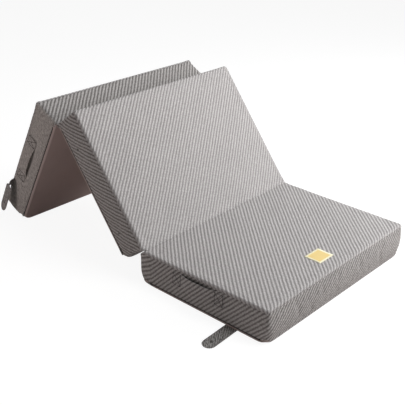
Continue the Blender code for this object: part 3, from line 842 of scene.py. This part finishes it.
def settle(panel):
    """Where a panel's coarse skin lies, and how far its cloth moves as it settles."""
    skin = Skin(panel, slack_cell)
    quads = shell_quads(skin, skin.band_rings[:-1])
    mesh, used = mesh_of(f"{panel}_slack", skin.points, quads)
    body = link_object(f"{panel}_slack", mesh)
    held = body.vertex_groups.new(name="held")
    top = skin.top_grid[edge_steps:-edge_steps, edge_steps:-edge_steps].ravel()
    free = np.isin(used, np.concatenate([top] + skin.wall_rings[1:-1]))
    held.add([int(k) for k in np.flatnonzero(~free)], 1.0, "REPLACE")
    held.add([int(k) for k in np.flatnonzero(free)], hold_inside, "REPLACE")
    cloth = body.modifiers.new("slack", "CLOTH")
    settings = cloth.settings
    settings.quality = 4
    settings.tension_stiffness = stretch_stiffness
    settings.compression_stiffness = stretch_stiffness
    settings.bending_stiffness = bending_stiffness
    settings.use_pressure = True
    settings.uniform_pressure_force = pressure
    settings.shrink_min = spare_cloth
    settings.vertex_group_mass = "held"
    settings.pin_stiffness = hold_stiffness
    settings.effector_weights.gravity = 0
    cloth.point_cache.frame_start = 1
    cloth.point_cache.frame_end = settle_frames
    for step in range(1, settle_frames + 1):
        scene.frame_set(step)
    settled = body.evaluated_get(bpy.context.evaluated_depsgraph_get()).data
    places = np.zeros(len(used) * 3)
    settled.vertices.foreach_get("co", places)
    moves = places.reshape(-1, 3) - skin.points[used]
    reach = np.linalg.norm(moves, axis=1, keepdims=True)
    moves *= most_slack / np.maximum(reach, most_slack)
    bpy.data.objects.remove(body, do_unlink=True)
    scene.frame_set(1)
    return skin.points[used], moves


def follow(points, places, moves):
    """How far points move with the settled places near them."""
    tree = KDTree(len(places))
    for k, place in enumerate(places):
        tree.insert(place, k)
    tree.balance()
    carried = np.zeros_like(points)
    for k, point in enumerate(points):
        found = tree.find_n(point, slack_neighbours)
        nearest = found[0][2]
        weights = [math.exp((nearest ** 2 - apart ** 2) / slack_reach ** 2) for _, _, apart in found]
        carried[k] = np.average(moves[[number for _, number, _ in found]], axis=0, weights=weights)
    return carried


# The hem is turned under in the band's knit, but for the zip side, where it is plain cloth. Within the
# same reach of a bottom fold, the band's darker knit is painted shade in the wedge between the folded
# panels
hem_lines = 2
turn_under_and_shade_reach = 0.022
skins = {}
for panel in panel_names:
    skin = Skin(panel, cell)
    skins[panel] = skin
    upper = np.concatenate([skin.top_grid[1:-1, 1:-1].ravel()] + skin.wall_rings[1:-1])
    free = freedom(panel, skin.points)
    rest = skin.points.copy()
    skin.points[upper] += follow(rest[upper], *settle(panel)) * free[upper]
    top = skin.top_grid[1:-1, 1:-1].ravel()
    skin.points[top, 2] += slow_waves(panel, rest[top]) * free[top, 0]
    level_top(panel, skin.points, rest, free, top)
    for ring in skin.wall_rings[1:-1]:
        outwards = np.stack(rounded_plan(*rest[ring][:, :2].T)[2:4], axis=-1)
        skin.points[ring, :2] += outwards * slow_waves(panel, rest[ring])[:, None] * free[ring]
    skin.points = fill_fold_corners(panel, skin.points)
    if panel == "front":
        skin.points = swell(skin.points)
    skin.points = finger_hollows(panel, soften(panel, skin.points))
    place = panel_frames[panel]
    run_on = -2 * half_reach if panel == "middle" else 0.0
    top_quads = grid_quads(skin.top_grid)
    band_quads = ring_quads(skin.band_rings)
    bottom = skin.bottom_grid
    between = bottom[hem_lines:-hem_lines]
    strips = (bottom[:hem_lines + 1], bottom[-hem_lines - 1:],
              between[:, :hem_lines + 1], between[:, -hem_lines - 1:])
    hem_quads = np.concatenate(
        [ring_quads(skin.hem_rings)] + [grid_quads(strip)[:, ::-1] for strip in strips])
    top_pattern = skin.plan[top_quads] + [run_on, 0]
    band_pattern = skin.side_pattern(band_quads)
    hem_pattern = skin.side_pattern(hem_quads)
    for name, quads, pattern, material, node, slot in (
            ("top_knit", top_quads, top_pattern, top_knit, "top_cover", "top_fabric"),
            ("band_knit", band_quads, band_pattern, band_knit, "side_band", "band_fabric"),
            ("hem", hem_quads, hem_pattern, hem_cloth, "bottom_cover", "band_fabric")):
        piece = piece_of_cloth(f"{panel}_{name}", skin.points, quads, pattern, material, place)
        if panel == "back" and name == "band_knit":
            # The back panel's left side takes the paler fine knit, which is painted light
            on_left = (skin.points[quads][..., 1] < left_side + fine_edge).all(axis=1)
            piece.data.materials.append(fine_knit_painted_light)
            piece.data.polygons.foreach_set("material_index", on_left.astype(np.int32))
        if name == "hem":
            to_left = skin.points[quads][..., 1] - left_side
            to_fold = half_length - bottom_fold_end[panel] * skin.points[quads][..., 0]
            knit_or_painted_shade = (to_left > turn_under_and_shade_reach).all(axis=1)
            # Near a bottom fold the darker knit is painted shade in the wedge between the panels
            if bottom_fold_end[panel]:
                knit_or_painted_shade |= (to_fold < turn_under_and_shade_reach).all(axis=1)
            piece.data.materials.append(band_knit)
            piece.data.polygons.foreach_set("material_index", knit_or_painted_shade.astype(np.int32))
        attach(piece, f"{panel}_panel")
        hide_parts(f"{panel}_{node}")

# Base cloth of each panel
# A plain, tightly woven brown grey cloth, stretched flat under the foam. Its edge is sewn to the
# hem that comes round from the sides.
base_relief = 0.0003
base_sheen = 0.05

base_cloth = cloth_material("base_cloth", weave_group, base_relief, base_sheen)
for panel in panel_names:
    skin = skins[panel]
    quads = grid_quads(skin.bottom_grid[hem_lines:-hem_lines, hem_lines:-hem_lines])[:, ::-1]
    base = piece_of_cloth(f"{panel}_base_cloth", skin.points, quads, skin.plan[quads],
                          base_cloth, panel_frames[panel])
    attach(base, f"{panel}_panel")
    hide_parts(f"{panel}_bottom_cover")

# Foam cores
# One slab of soft, open-cell polyurethane foam fills each cover. It lies a little inside the
# cloth and is sewn nowhere.
foam_cell = 0.020
foam_inset = 0.0065
foam_colour = (0.80, 0.76, 0.62, 1)
# The pores' darker colour is painted shade in the pits
foam_pore_shade_colour = (0.60, 0.54, 0.40, 1)
foam_pores = 420.0
pore_edge = 1.6
foam_roughness = 0.95
foam_relief = 0.0006


def foam_material():
    """Pale open-cell foam, pitted with small pores whose darker colour is painted shade."""
    tree, shader, made = new_material("open_cell_foam")
    place = add_node(tree, "ShaderNodeTexCoord").outputs["Object"]
    pores = add_node(tree, "ShaderNodeTexVoronoi", {"Vector": place, "Scale": foam_pores})
    pit = math_node(tree, "MULTIPLY", pores.outputs["Distance"], pore_edge, clamp=True)
    bump = add_node(tree, "ShaderNodeBump", {"Distance": foam_relief, "Height": 1.0 - pit})
    set_inputs(tree, shader, {
        "Base Color": mix_colours(tree, pit, foam_colour, foam_pore_shade_colour),
        "Normal": bump.outputs["Normal"],
        "Roughness": foam_roughness,
    })
    return made


open_cell_foam = foam_material()
for panel in panel_names:
    skin = Skin(panel, foam_cell)
    points = swell(skin.points) if panel == "front" else skin.points
    points = finger_hollows(panel, soften(panel, points))
    mesh, _ = mesh_of(f"{panel}_foam", points, shell_quads(skin, skin.band_rings[:-2]))
    for vertex, normal in zip(mesh.vertices, [Vector(item.vector) for item in mesh.vertex_normals]):
        vertex.co -= normal * foam_inset
    mesh.transform(panel_frames[panel])
    mesh.materials.append(open_cell_foam)
    mesh.shade_smooth()
    slab = link_object(f"{panel}_foam", mesh)
    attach(slab, f"{panel}_panel")
    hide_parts(f"{panel}_foam_core")

# Zips
# Along the foot of each left side, a woven tape with two rows of moulded teeth that mesh. The
# slider and its pull are cast, dark metal.
zip_margin = 0.034
tape_inner = left_side + 0.0052
tape_outer = left_side + 0.0042
tape_half_width = 0.0034
tape_colours = ((0.060, 0.054, 0.051, 1), (0.022, 0.020, 0.019, 1))
tape_threads = 2600.0
tape_relief = 0.0002
tape_steps = 48
strip_flat_steps = 9
tooth_pitch = 0.0015
tooth_row = 0.0008
tooth_size = (0.0007, 0.0013, 0.0005)
tooth_off_tape = 0.00056
tooth_colour = (0.045, 0.042, 0.040, 1)
tooth_roughness = 0.38
bead_sides = 6
bead_rings = 4
metal_colours = ((0.060, 0.056, 0.052, 1), (0.110, 0.104, 0.098, 1))
metal_roughness = 0.36
metal_brush = (40.0, 40.0, 900.0)
metal_streaks = 8
metal_wear = 0.16
metal_share = 0.85


def bead_line_tree():
    """A node tree that sets a small bead at every pitch along a line, facing one way."""
    tree = bpy.data.node_groups.new("beads_along_a_line", "GeometryNodeTree")
    for name, kind in (("Line", "Geometry"), ("Pitch", "Float"), ("Size", "Vector"),
                       ("Facing", "Vector"), ("Finish", "Material")):
        tree.interface.new_socket(name, in_out="INPUT", socket_type="NodeSocket" + kind)
    tree.interface.new_socket("Beads", in_out="OUTPUT", socket_type="NodeSocketGeometry")
    given = tree.nodes.new("NodeGroupInput").outputs
    curve = add_node(tree, "GeometryNodeMeshToCurve", {"Mesh": given["Line"]})
    evenly = add_node(tree, "GeometryNodeResampleCurve",
                      {"Curve": curve.outputs["Curve"], "Length": given["Pitch"]}, mode="LENGTH")
    bead = add_node(tree, "GeometryNodeMeshUVSphere",
                    {"Segments": bead_sides, "Rings": bead_rings, "Radius": 1.0})
    tangent = add_node(tree, "GeometryNodeInputTangent").outputs["Tangent"]
    along = add_node(tree, "FunctionNodeAlignRotationToVector", {"Vector": tangent}, axis="Z")
    facing = add_node(tree, "FunctionNodeAlignRotationToVector", {
        "Rotation": along.outputs["Rotation"], "Vector": given["Facing"]}, axis="X", pivot_axis="Z")
    spread = add_node(tree, "GeometryNodeInstanceOnPoints", {
        "Points": evenly.outputs["Curve"], "Instance": bead.outputs["Mesh"],
        "Rotation": facing.outputs["Rotation"], "Scale": given["Size"]})
    real = add_node(tree, "GeometryNodeRealizeInstances", {"Geometry": spread.outputs["Instances"]})
    smooth = add_node(tree, "GeometryNodeSetShadeSmooth", {"Geometry": real.outputs["Geometry"]})
    finish = add_node(tree, "GeometryNodeSetMaterial", {
        "Geometry": smooth.outputs["Geometry"], "Material": given["Finish"]})
    add_node(tree, "NodeGroupOutput", {"Beads": finish.outputs["Geometry"]})
    return tree


bead_tree = bead_line_tree()


def beads(name, lines, pitch, size, facing, material):
    """Small beads set along these lines of points, as one finished mesh."""
    points = [tuple(point) for line in lines for point in line]
    ends = {sum(len(line) for line in lines[:k + 1]) for k in range(len(lines))}
    mesh = bpy.data.meshes.new(name)
    mesh.from_pydata(points, [(k - 1, k) for k in range(1, len(points)) if k not in ends], [])
    made = link_object(name, mesh)
    spread = made.modifiers.new("beads", "NODES")
    spread.node_group = bead_tree
    values = {"Pitch": pitch, "Size": size, "Facing": tuple(facing), "Finish": material}
    for item in bead_tree.interface.items_tree:
        if item.in_out == "INPUT" and item.name in values:
            spread[item.identifier] = values[item.name]
    graph = bpy.context.evaluated_depsgraph_get()
    finished = bpy.data.meshes.new_from_object(made.evaluated_get(graph), depsgraph=graph)
    made.modifiers.clear()
    made.data = finished
    return made


def swept(name, rings, places, material):
    """A closed body through rings of points, capped at both ends, with its pattern places."""
    points = [tuple(point) for ring in rings for point in ring]
    flat_places = [place for ring in places for place in ring]
    numbers = np.arange(len(points)).reshape(len(rings), -1)
    sides = ring_quads(list(numbers))[:, [0, 3, 2, 1]]
    faces = sides.tolist() + [numbers[0, ::-1].tolist(), numbers[-1].tolist()]
    mesh = bpy.data.meshes.new(name)
    mesh.from_pydata(points, [], faces)
    shape = bmesh.new()
    shape.from_mesh(mesh)
    bmesh.ops.recalc_face_normals(shape, faces=shape.faces)
    shape.to_mesh(mesh)
    shape.free()
    layer = mesh.uv_layers.new(name="UVMap")
    for loop in mesh.loops:
        layer.data[loop.index].uv = flat_places[loop.vertex_index]
    mesh.materials.append(material)
    mesh.shade_smooth()
    return link_object(name, mesh)


def strip_ring(half_width, half_depth, steps=4):
    """A rounded strip's section: (across, off the face) points, going once round it."""
    corner = min(half_depth, half_width)
    flat = half_width - corner
    ends = [(corner * math.cos(a), corner * math.sin(a))
            for a in (math.pi * (k / (2 * steps) - 0.5) for k in range(2 * steps + 1))]
    right = [(flat + x, y / corner * half_depth) for x, y in ends]
    middle = [(flat * (1 - 2 * k / strip_flat_steps), half_depth) for k in range(1, strip_flat_steps)]
    left = [(-x, -y) for x, y in right]
    under = [(-x, -y) for x, y in middle]
    return right + middle + left + under


def plain_material(name, colour, roughness):
    """A finish of one colour."""
    tree, shader, made = new_material(name)
    set_inputs(tree, shader, {"Base Color": colour, "Roughness": roughness, "Metallic": 0.0})
    return made


def dark_metal_material():
    """Dark plated metal, brushed along one way, lighter where it is worn."""
    tree, shader, made = new_material("dark_metal")
    place = add_node(tree, "ShaderNodeTexCoord").outputs["Object"]
    stretch = add_node(tree, "ShaderNodeMapping", {"Vector": place, "Scale": metal_brush})
    streaks = noise_value(tree, stretch.outputs["Vector"], metal_streaks, 3.0)
    set_inputs(tree, shader, {
        "Base Color": mix_colours(tree, streaks, *metal_colours),
        "Roughness": swing(streaks, metal_wear) + metal_roughness,
        "Metallic": metal_share,
    })
    return made


zip_tape = cloth_material("zip_tape", weave_group, tape_relief, 0.0, Threads=tape_threads,
                          Light_Yarn=tape_colours[0], Dark_Yarn=tape_colours[1])
zip_teeth = plain_material("zip_teeth", tooth_colour, tooth_roughness)
dark_metal = dark_metal_material()
reach = half_length - zip_margin
section = strip_ring(tape_half_width, (tape_inner - tape_outer) / 2, 2)
middle_y = (tape_inner + tape_outer) / 2
stops = [reach * (2 * k / tape_steps - 1) for k in range(tape_steps + 1)]
for panel in panel_names:
    place = panel_frames[panel]
    tape = swept(
        f"{panel}_zip_tape",
        [[place @ Vector((x, middle_y - off, groove_middle + across)) for across, off in section]
         for x in stops],
        [[(x, across) for across, _ in section] for x in stops], zip_tape)
    rows = [
        [place @ Vector((x, tape_outer - tooth_off_tape, groove_middle + row * tooth_row))
         for x in (shift - reach, reach - tooth_pitch + shift)]
        for row, shift in ((-1, 0.0), (1, tooth_pitch / 2))
    ]
    teeth = beads(f"{panel}_zip_teeth", rows, tooth_pitch, tooth_size, (0, -1, 0), zip_teeth)
    for piece in (tape, teeth):
        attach(piece, f"{panel}_panel")
        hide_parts(f"{panel}_zip_chain")
    for part in ("zip_slider", "zip_pull"):
        cast = frame["nodes"][f"{panel}_{part}"]
        cast.data.materials.clear()
        cast.data.materials.append(dark_metal)

# Fold seams
# A strip of the top knit is sewn over the front fold and one of the band's knit under the back
# fold; each is bent round its fold along its middle.
fold_strip_reach = 0.007
fold_strip_inset = 0.008
fold_strip_half_length = half_width - fold_strip_inset
fold_strip_half_depth = 0.0005
fold_strip_above = 0.0004
fold_strip_steps = 8
fold_strip_stops = 60


def fold_strip(name, fold, low_way, high_way, low_out, high_out, material, start_place):
    """A strip over a fold, from one panel's face, round the fold, to the other's."""
    line = []
    for k in range(fold_strip_steps + 1):
        share = 2 * k / fold_strip_steps - 1
        reach = abs(share) * fold_strip_reach
        way, out = (low_way, low_out) if share < 0 else (high_way, high_out)
        line.append((fold + way * reach + out * fold_strip_above, out, share * fold_strip_reach))
    middle_out = (low_out + high_out).normalized()
    line[fold_strip_steps // 2] = (fold + middle_out * fold_strip_above, middle_out, 0.0)
    section = ([(point + out * fold_strip_half_depth, run) for point, out, run in line]
               + [(point - out * fold_strip_half_depth, run) for point, out, run in reversed(line)])
    stops = [fold_strip_half_length * (2 * k / fold_strip_stops - 1)
             for k in range(fold_strip_stops + 1)]
    return swept(
        name,
        [[point + Vector((0, y, 0)) for point, _ in section] for y in stops],
        [[(start_place + run, y) for _, run in section] for y in stops], material)


front_x, front_up = Vector((1, 0, 0)), Vector((0, 0, 1))
middle_x, middle_up = (Vector(panel_frames["middle"].col[k][:3]) for k in (0, 2))
back_x, back_up = (Vector(panel_frames["back"].col[k][:3]) for k in (0, 2))
front_seam = fold_strip("front_fold_strip", front_fold, -middle_x, front_x, middle_up, front_up,
                        top_knit, -half_reach)
# The strip under the back fold takes the band's darker knit as painted shade in the wedge between the
# panels
back_seam = fold_strip("back_fold_strip", back_fold, -back_x, middle_x, -back_up, -middle_up,
                       band_knit, half_reach)
for seam, parent, child, fold, start_way, end_way, node, slot in (
        (front_seam, "front_panel", "middle_panel", front_fold, front_x, -middle_x,
         "front_fold_seam", "top_fabric"),
        (back_seam, "middle_panel", "back_panel", back_fold, middle_x, -back_x,
         "back_fold_seam", "bottom_fabric")):
    start = fold + start_way * fold_strip_reach
    end = fold + end_way * fold_strip_reach
    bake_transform(seam)
    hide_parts(node)

# Handles
# A flat band of the same knit on each of two left sides, sewn down at both ends with a box and
# a cross of dark thread, and bowed outwards between them for the fingers.
handle_length = 0.270
handle_sewn = 0.048
handle_width = 0.060
handle_height = 0.100
handle_thickness = 0.0032
handle_bulge = 0.0110
handle_bow = 3.0
handle_gap = 0.0003
handle_end_taper = 0.0016
handle_end_share = 0.45
handle_steps = 120
handle_middles = {
    panel: sum(corner[0] for corner in box_in_panel(panel, f"{panel}_handle")) / 2
    for panel in ("front", "back")
}
stitch_inset = 0.0045
stitch_inner_inset = 0.0027
stitch_line_steps = 12
stitch_pitch = 0.0036
stitch_size = (0.0010, 0.0015, 0.0018)
stitch_colour = (0.020, 0.018, 0.017, 1)
stitch_dent = 0.0016
stitch_dent_reach = 0.0032
thread_roughness = 0.8
dark_thread = plain_material("dark_thread", stitch_colour, thread_roughness)


def side_y(height):
    """Where the left side's cloth lies at this height above the panel's foot."""
    seam_height = panel_thickness - top_edge_radius
    share = min(max((seam_height - height) / (seam_height - groove_top), 0.0), 1.0)
    return left_side + side_belly * (1 - math.sin(math.pi * share))


def bowed(x):
    """How far the handle stands off the side, at this place along it."""
    free_half = handle_length / 2 - handle_sewn
    return handle_bulge * (1 - min(abs(x) / free_half, 1.0) ** handle_bow)


def side_place(panel, x):
    """How far round the band's pattern the left side is at this place along the panel."""
    skin = skins[panel]
    ring = skin.wall_rings[len(skin.wall_rings) // 2]
    left = ring[:len(ring) // 3]
    left = left[skin.points[left][:, 1] < left_side + corner_radius / 2]
    return float(np.interp(x, skin.points[left][:, 0], skin.side[left][:, 0]))


def cross_stitch_lines():
    """The box and the cross sewn at each end, as lines of (along, across) places."""
    lines = []
    for end in (-1, 1):
        outer = end * (handle_length / 2 - stitch_inset)
        inner = end * (handle_length / 2 - handle_sewn + stitch_inner_inset)
        high = handle_width / 2 - stitch_inset
        lines += [
            [(outer, -high), (inner, -high), (inner, high), (outer, high), (outer, -high)],
            [(outer, -high), (inner, high)],
            [(outer, high), (inner, -high)],
        ]
    return lines


stitch_lines = cross_stitch_lines()


def near_stitches(x, across):
    """How near a place lies to the stitches: 1 on a line, falling to 0 beside it."""
    spot = Vector((x, across))
    nearest = 1.0
    for line in stitch_lines:
        for start, end in zip(line, line[1:]):
            start, way = Vector(start), Vector(end) - Vector(start)
            share = min(max((spot - start).dot(way) / way.length_squared, 0.0), 1.0)
            nearest = min(nearest, (start + way * share - spot).length)
    return math.exp(-(nearest / stitch_dent_reach) ** 2)


for panel, middle in handle_middles.items():
    place = panel_frames[panel]
    section = strip_ring(handle_width / 2, handle_thickness / 2, 4)
    rings = []
    places = []
    for k in range(handle_steps + 1):
        x = handle_length * (k / handle_steps - 0.5)
        from_end = min(1.0, (handle_length / 2 - abs(x)) / handle_end_taper)
        thinned = handle_end_share + (1 - handle_end_share) * from_end
        ring = []
        for across, off in section:
            height = handle_height + across
            depth = off * thinned + handle_thickness / 2
            pressed = stitch_dent * near_stitches(x, across) if off > 0 else 0.0
            y = side_y(height) - handle_gap - bowed(x) - depth + pressed
            ring.append(place @ Vector((middle + x, y, height)))
        rings.append(ring)
        places.append([(side_place(panel, middle + x), handle_height + across) for across, _ in section])
    # The back handle takes the fine knit, whose paler yarns are painted light
    knit = fine_knit_painted_light if panel == "back" else band_knit
    band = swept(f"{panel}_handle_band", rings, places, knit)
    lines = []
    for line in stitch_lines:
        spots = [Vector(start).lerp(Vector(end), k / stitch_line_steps)
                 for start, end in zip(line, line[1:]) for k in range(stitch_line_steps)]
        off = handle_gap + handle_thickness - stitch_dent + stitch_size[0] / 2
        lines.append([
            place @ Vector((middle + spot.x, side_y(handle_height + spot.y) - bowed(spot.x) - off,
                            handle_height + spot.y))
            for spot in spots + [Vector(line[-1])]
        ])
    thread = beads(f"{panel}_handle_stitches", lines, stitch_pitch, stitch_size, (0, -1, 0), dark_thread)
    for piece in (band, thread):
        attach(piece, f"{panel}_panel")
        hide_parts(f"{panel}_handle")

# Straps
# Two closing straps of fine knit, each sewn into a seam at its root and rounded at its tip. The
# front one lies on the floor; the back one droops under its own weight.
strap_width = 0.058
strap_half_depth = 0.0012
strap_length = 0.152
strap_drift = 0.008
droop = math.radians(75)
droop_slant = math.radians(12)
droop_twist = math.radians(-20)
bend_share = 0.15
turn_share = 0.30
strap_flex_end = 0.008
strap_steps = 44
strap_tip_steps = 12
strap_relief = 0.0005
strap_rib_spacing = 0.0068
strap_dash_length = 0.0060
strap_heather = 1.3
strap_light = (0.505, 0.488, 0.476, 1)
strap_dark = (0.100, 0.093, 0.089, 1)
edge_stitch_start = 0.006
edge_stitch_inset = 0.0035
edge_stitch_pitch = 0.0034
edge_stitch_size = (0.00035, 0.00035, 0.0012)
edge_thread_colour = (0.110, 0.100, 0.095, 1)

strap_knit = cloth_material("strap_knit", knit_group, strap_relief, knit_sheen, Slant=band_slant,
                            Rib_Spacing=strap_rib_spacing, Dash_Length=strap_dash_length,
                            Light_Yarn=strap_light, Dark_Yarn=strap_dark, Heather=strap_heather)
edge_thread = plain_material("edge_thread", edge_thread_colour, thread_roughness)


def strap_stops(root):
    """Distances along a strap from its seat to its tip, closer where it rounds off."""
    tip = strap_width / 2
    body = strap_length - tip
    turns = [math.pi / 2 * k / strap_tip_steps for k in range(1, strap_tip_steps + 1)]
    straight = [root + (body - root) * k / strap_steps for k in range(strap_steps + 1)]
    return straight + [body + tip * math.sin(turn) for turn in turns]


def strap_half_width(along):
    """Half the strap's width here: full, then a half-round tip."""
    tip = strap_width / 2
    past = max(along - (strap_length - tip), 0.0)
    return math.sqrt(max(tip ** 2 - past ** 2, (2 * strap_half_depth) ** 2))


def front_strap_path(stops):
    """The front strap's (distance, centre, width way, face way), flat on the floor."""
    start = Vector(joints["front_strap_lift"]["pos_m"])
    return [
        (along,
         start + Vector((strap_drift * max(along, 0.0) / strap_length, -along, 0)),
         Vector((1, 0, 0)), Vector((0, 0, 1)))
        for along in stops
    ]


def back_strap_path(stops):
    """The back strap's path: out of the seam, down under its weight, turned a little."""
    turn_to_world = panel_frames["back"].to_3x3()
    lean = math.atan2(back_x.z, back_x.x)
    outward = Vector((0, -1, 0))
    fall = lean + droop_slant
    down = Vector((-math.sin(fall), 0, -math.cos(fall)))
    along_seam = Vector((1, 0, 0))
    level = Vector((math.cos(lean), 0, -math.sin(lean)))
    bend_length = bend_share * strap_length
    start = Vector(joints["back_strap_lift"]["pos_m"])
    centre = outward * stops[0]
    last = stops[0]
    path = []
    for along in stops:
        turn = droop * min(1.0, max(last + along, 0.0) / 2 / bend_length)
        way = outward * math.cos(turn) + down * math.sin(turn)
        centre = centre + way * (along - last)
        share = turn_share * min(1.0, max(along, 0.0) / bend_length) ** 2
        across = along_seam.lerp(level, share)
        across = (across - way * across.dot(way)).normalized()
        across.rotate(Quaternion(way, droop_twist * share))
        face = -across.cross(way)
        path.append((along, start + turn_to_world @ centre, turn_to_world @ across, turn_to_world @ face))
        last = along
    return path


# How deep in its seam each strap starts
strap_seats = {"front": left_side + 0.0054, "back": left_side + 0.0025}
strap_paths = {}
for panel, path_of in (("front", front_strap_path), ("back", back_strap_path)):
    hinge = Vector(joints[f"{panel}_strap_lift"]["pos_m"])
    path = path_of(strap_stops(hinge.y - strap_seats[panel]))
    strap_paths[panel] = path
    rings = []
    places = []
    for along, centre, across_way, face_way in path:
        section = strip_ring(strap_half_width(along), strap_half_depth, 4)
        rings.append([centre + across_way * across + face_way * off for across, off in section])
        places.append([(along, across) for across, _ in section])
    strap = swept(f"{panel}_strap_band", rings, places, strap_knit)
    lines = []
    sewn = [stop for stop in path if edge_stitch_start < stop[0] < strap_length - edge_stitch_inset]
    for face in (-1, 1):
        edges = [
            [centre + face_way * face * strap_half_depth
             + across_way * side * (strap_half_width(along + edge_stitch_inset) - edge_stitch_inset)
             for along, centre, across_way, face_way in sewn]
            for side in (-1, 1)
        ]
        lines.append(edges[0] + edges[1][::-1])
    facing = path[len(path) // 2][3]
    thread = beads(f"{panel}_strap_stitches", lines, edge_stitch_pitch, edge_stitch_size, facing,
                   edge_thread)
    start = Vector((hinge.x, strap_seats[panel], hinge.z))
    end = Vector((hinge.x, hinge.y - strap_flex_end, hinge.z))
    for piece in (strap, thread):
        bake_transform(piece)
        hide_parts(f"{panel}_strap")
        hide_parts(f"{panel}_strap_root")

# Snaps and studs
# A pressed metal snap on each strap closes over a stud riveted to the middle panel's side. Both
# are turned and plated dark.
snap_along = 0.111
snap_gap = 0.0003
turned_sides = 48
snap_profile = [(0.0001, 0.0), (0.0058, 0.0), (0.0060, 0.0003), (0.0060, 0.0011), (0.0057, 0.0015),
                (0.0052, 0.0016), (0.0046, 0.0014), (0.0040, 0.0010), (0.0030, 0.0008),
                (0.0014, 0.0008), (0.0001, 0.0008)]
stud_profile = [(0.0001, 0.0), (0.0053, 0.0), (0.0055, 0.0003), (0.0052, 0.0008), (0.0040, 0.0010),
                (0.0024, 0.0011), (0.0022, 0.0014), (0.0022, 0.0021), (0.0026, 0.0024),
                (0.0030, 0.0029), (0.0029, 0.0033), (0.0022, 0.0036), (0.0001, 0.0036)]


def turned(name, profile, centre, axis, material):
    """A round piece turned about its axis from (radius, height) points."""
    side = axis.orthogonal().normalized()
    other = axis.cross(side)
    turns = [2 * math.pi * k / turned_sides for k in range(turned_sides)]
    rings = [
        [centre + axis * height + (side * math.cos(a) + other * math.sin(a)) * radius for a in turns]
        for radius, height in profile
    ]
    return swept(name, rings, [[(a, height) for a in turns] for _, height in profile], material)


def middle_of(node):
    """The middle of a node's box."""
    low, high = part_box(node)
    return (Vector(low) + Vector(high)) / 2


for panel in ("front", "back"):
    _, centre, _, way = min(strap_paths[panel], key=lambda stop: abs(stop[0] - snap_along))
    if (middle_of(f"{panel}_strap_snap") - centre).dot(way) < 0:
        way = -way
    snap_foot = centre + way * (strap_half_depth + snap_gap)
    snap = turned(f"{panel}_snap", snap_profile, snap_foot, way, dark_metal)
    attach(snap, f"{panel}_strap")
    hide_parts(f"{panel}_strap_snap")
    stud_foot = middle_of(f"{panel}_strap_stud")
    stud_foot.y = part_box(f"{panel}_strap_stud")[1][1]
    stud = turned(f"{panel}_stud", stud_profile, stud_foot, Vector((0, -1, 0)), dark_metal)
    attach(stud, "middle_panel")
    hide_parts(f"{panel}_strap_stud")

# Care label
# A small woven label, left bare, with a pale border round a yellow middle; it is sewn flat on
# the front panel's top along all four edges.
label_thickness = 0.0008
label_lift = 0.0003
label_steps = 16
label_cream = (0.86, 0.82, 0.60, 1)
label_yellow = (0.79, 0.60, 0.24, 1)
label_border_share = 0.17
label_border_edge = 12.0
label_roughness = 0.7
label_weave = 40
label_mottle = 0.4
above_cover = 0.05
label_stitch_inset = 0.0025


def label_material():
    """Smooth woven tape: cream at the border, yellow in the middle."""
    tree, shader, made = new_material("woven_label")
    place = add_node(tree, "ShaderNodeTexCoord").outputs["UV"]
    inside = [
        math_node(tree, "MULTIPLY", 1.0 - math_node(tree, "ABSOLUTE", part) - label_border_share,
                  label_border_edge, clamp=True)
        for part in split_place(tree, place)[:2]
    ]
    mottle = swing(noise_value(tree, place, label_weave), label_mottle) + 1.0
    mottled = math_node(tree, "MULTIPLY", inside[0] * inside[1], mottle, clamp=True)
    set_inputs(tree, shader, {
        "Base Color": mix_colours(tree, mottled, label_cream, label_yellow),
        "Roughness": label_roughness,
    })
    return made


woven_label = label_material()
label_low, label_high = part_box("care_label")
skin = skins["front"]
cover_surface = BVHTree.FromPolygons(skin.points.tolist(), grid_quads(skin.top_grid).tolist())


def on_cover(x, y):
    """The place on the front panel's top cover straight below this spot."""
    return cover_surface.ray_cast(Vector((x, y, panel_thickness + above_cover)), Vector((0, 0, -1)))[0]


shares = [2 * k / label_steps - 1 for k in range(label_steps + 1)]
label_middle = middle_of("care_label")
half_x, half_y = (label_high[0] - label_low[0]) / 2, (label_high[1] - label_low[1]) / 2
off_label = Vector((0, 0, label_lift + label_thickness))
rings = []
places = []
for share_y in shares:
    y = label_middle.y + share_y * half_y
    under = [on_cover(label_middle.x + share_x * half_x, y) for share_x in shares]
    lower = [point + Vector((0, 0, label_lift)) for point in under]
    rings.append(lower + [point + off_label for point in reversed(under)])
    line = [(share_x, share_y) for share_x in shares]
    places.append(line + line[::-1])
label = swept("front_care_label", rings, places, woven_label)
sewn_x, sewn_y = half_x - label_stitch_inset, half_y - label_stitch_inset
corners = [label_middle.xy + Vector((x * sewn_x, y * sewn_y))
           for x, y in ((-1, -1), (1, -1), (1, 1), (-1, 1))]
line = []
for start, end in zip(corners, corners[1:] + corners[:1]):
    spots = [start.lerp(end, k / label_steps) for k in range(label_steps + 1)]
    line += [on_cover(spot.x, spot.y) + off_label for spot in spots]
label_thread = plain_material("label_thread", label_cream, thread_roughness)
label_stitches = beads("front_label_stitches", [line], edge_stitch_pitch, edge_stitch_size,
                       (0, 0, 1), label_thread)
for piece in (label, label_stitches):
    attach(piece, "front_panel")
    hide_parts("care_label")
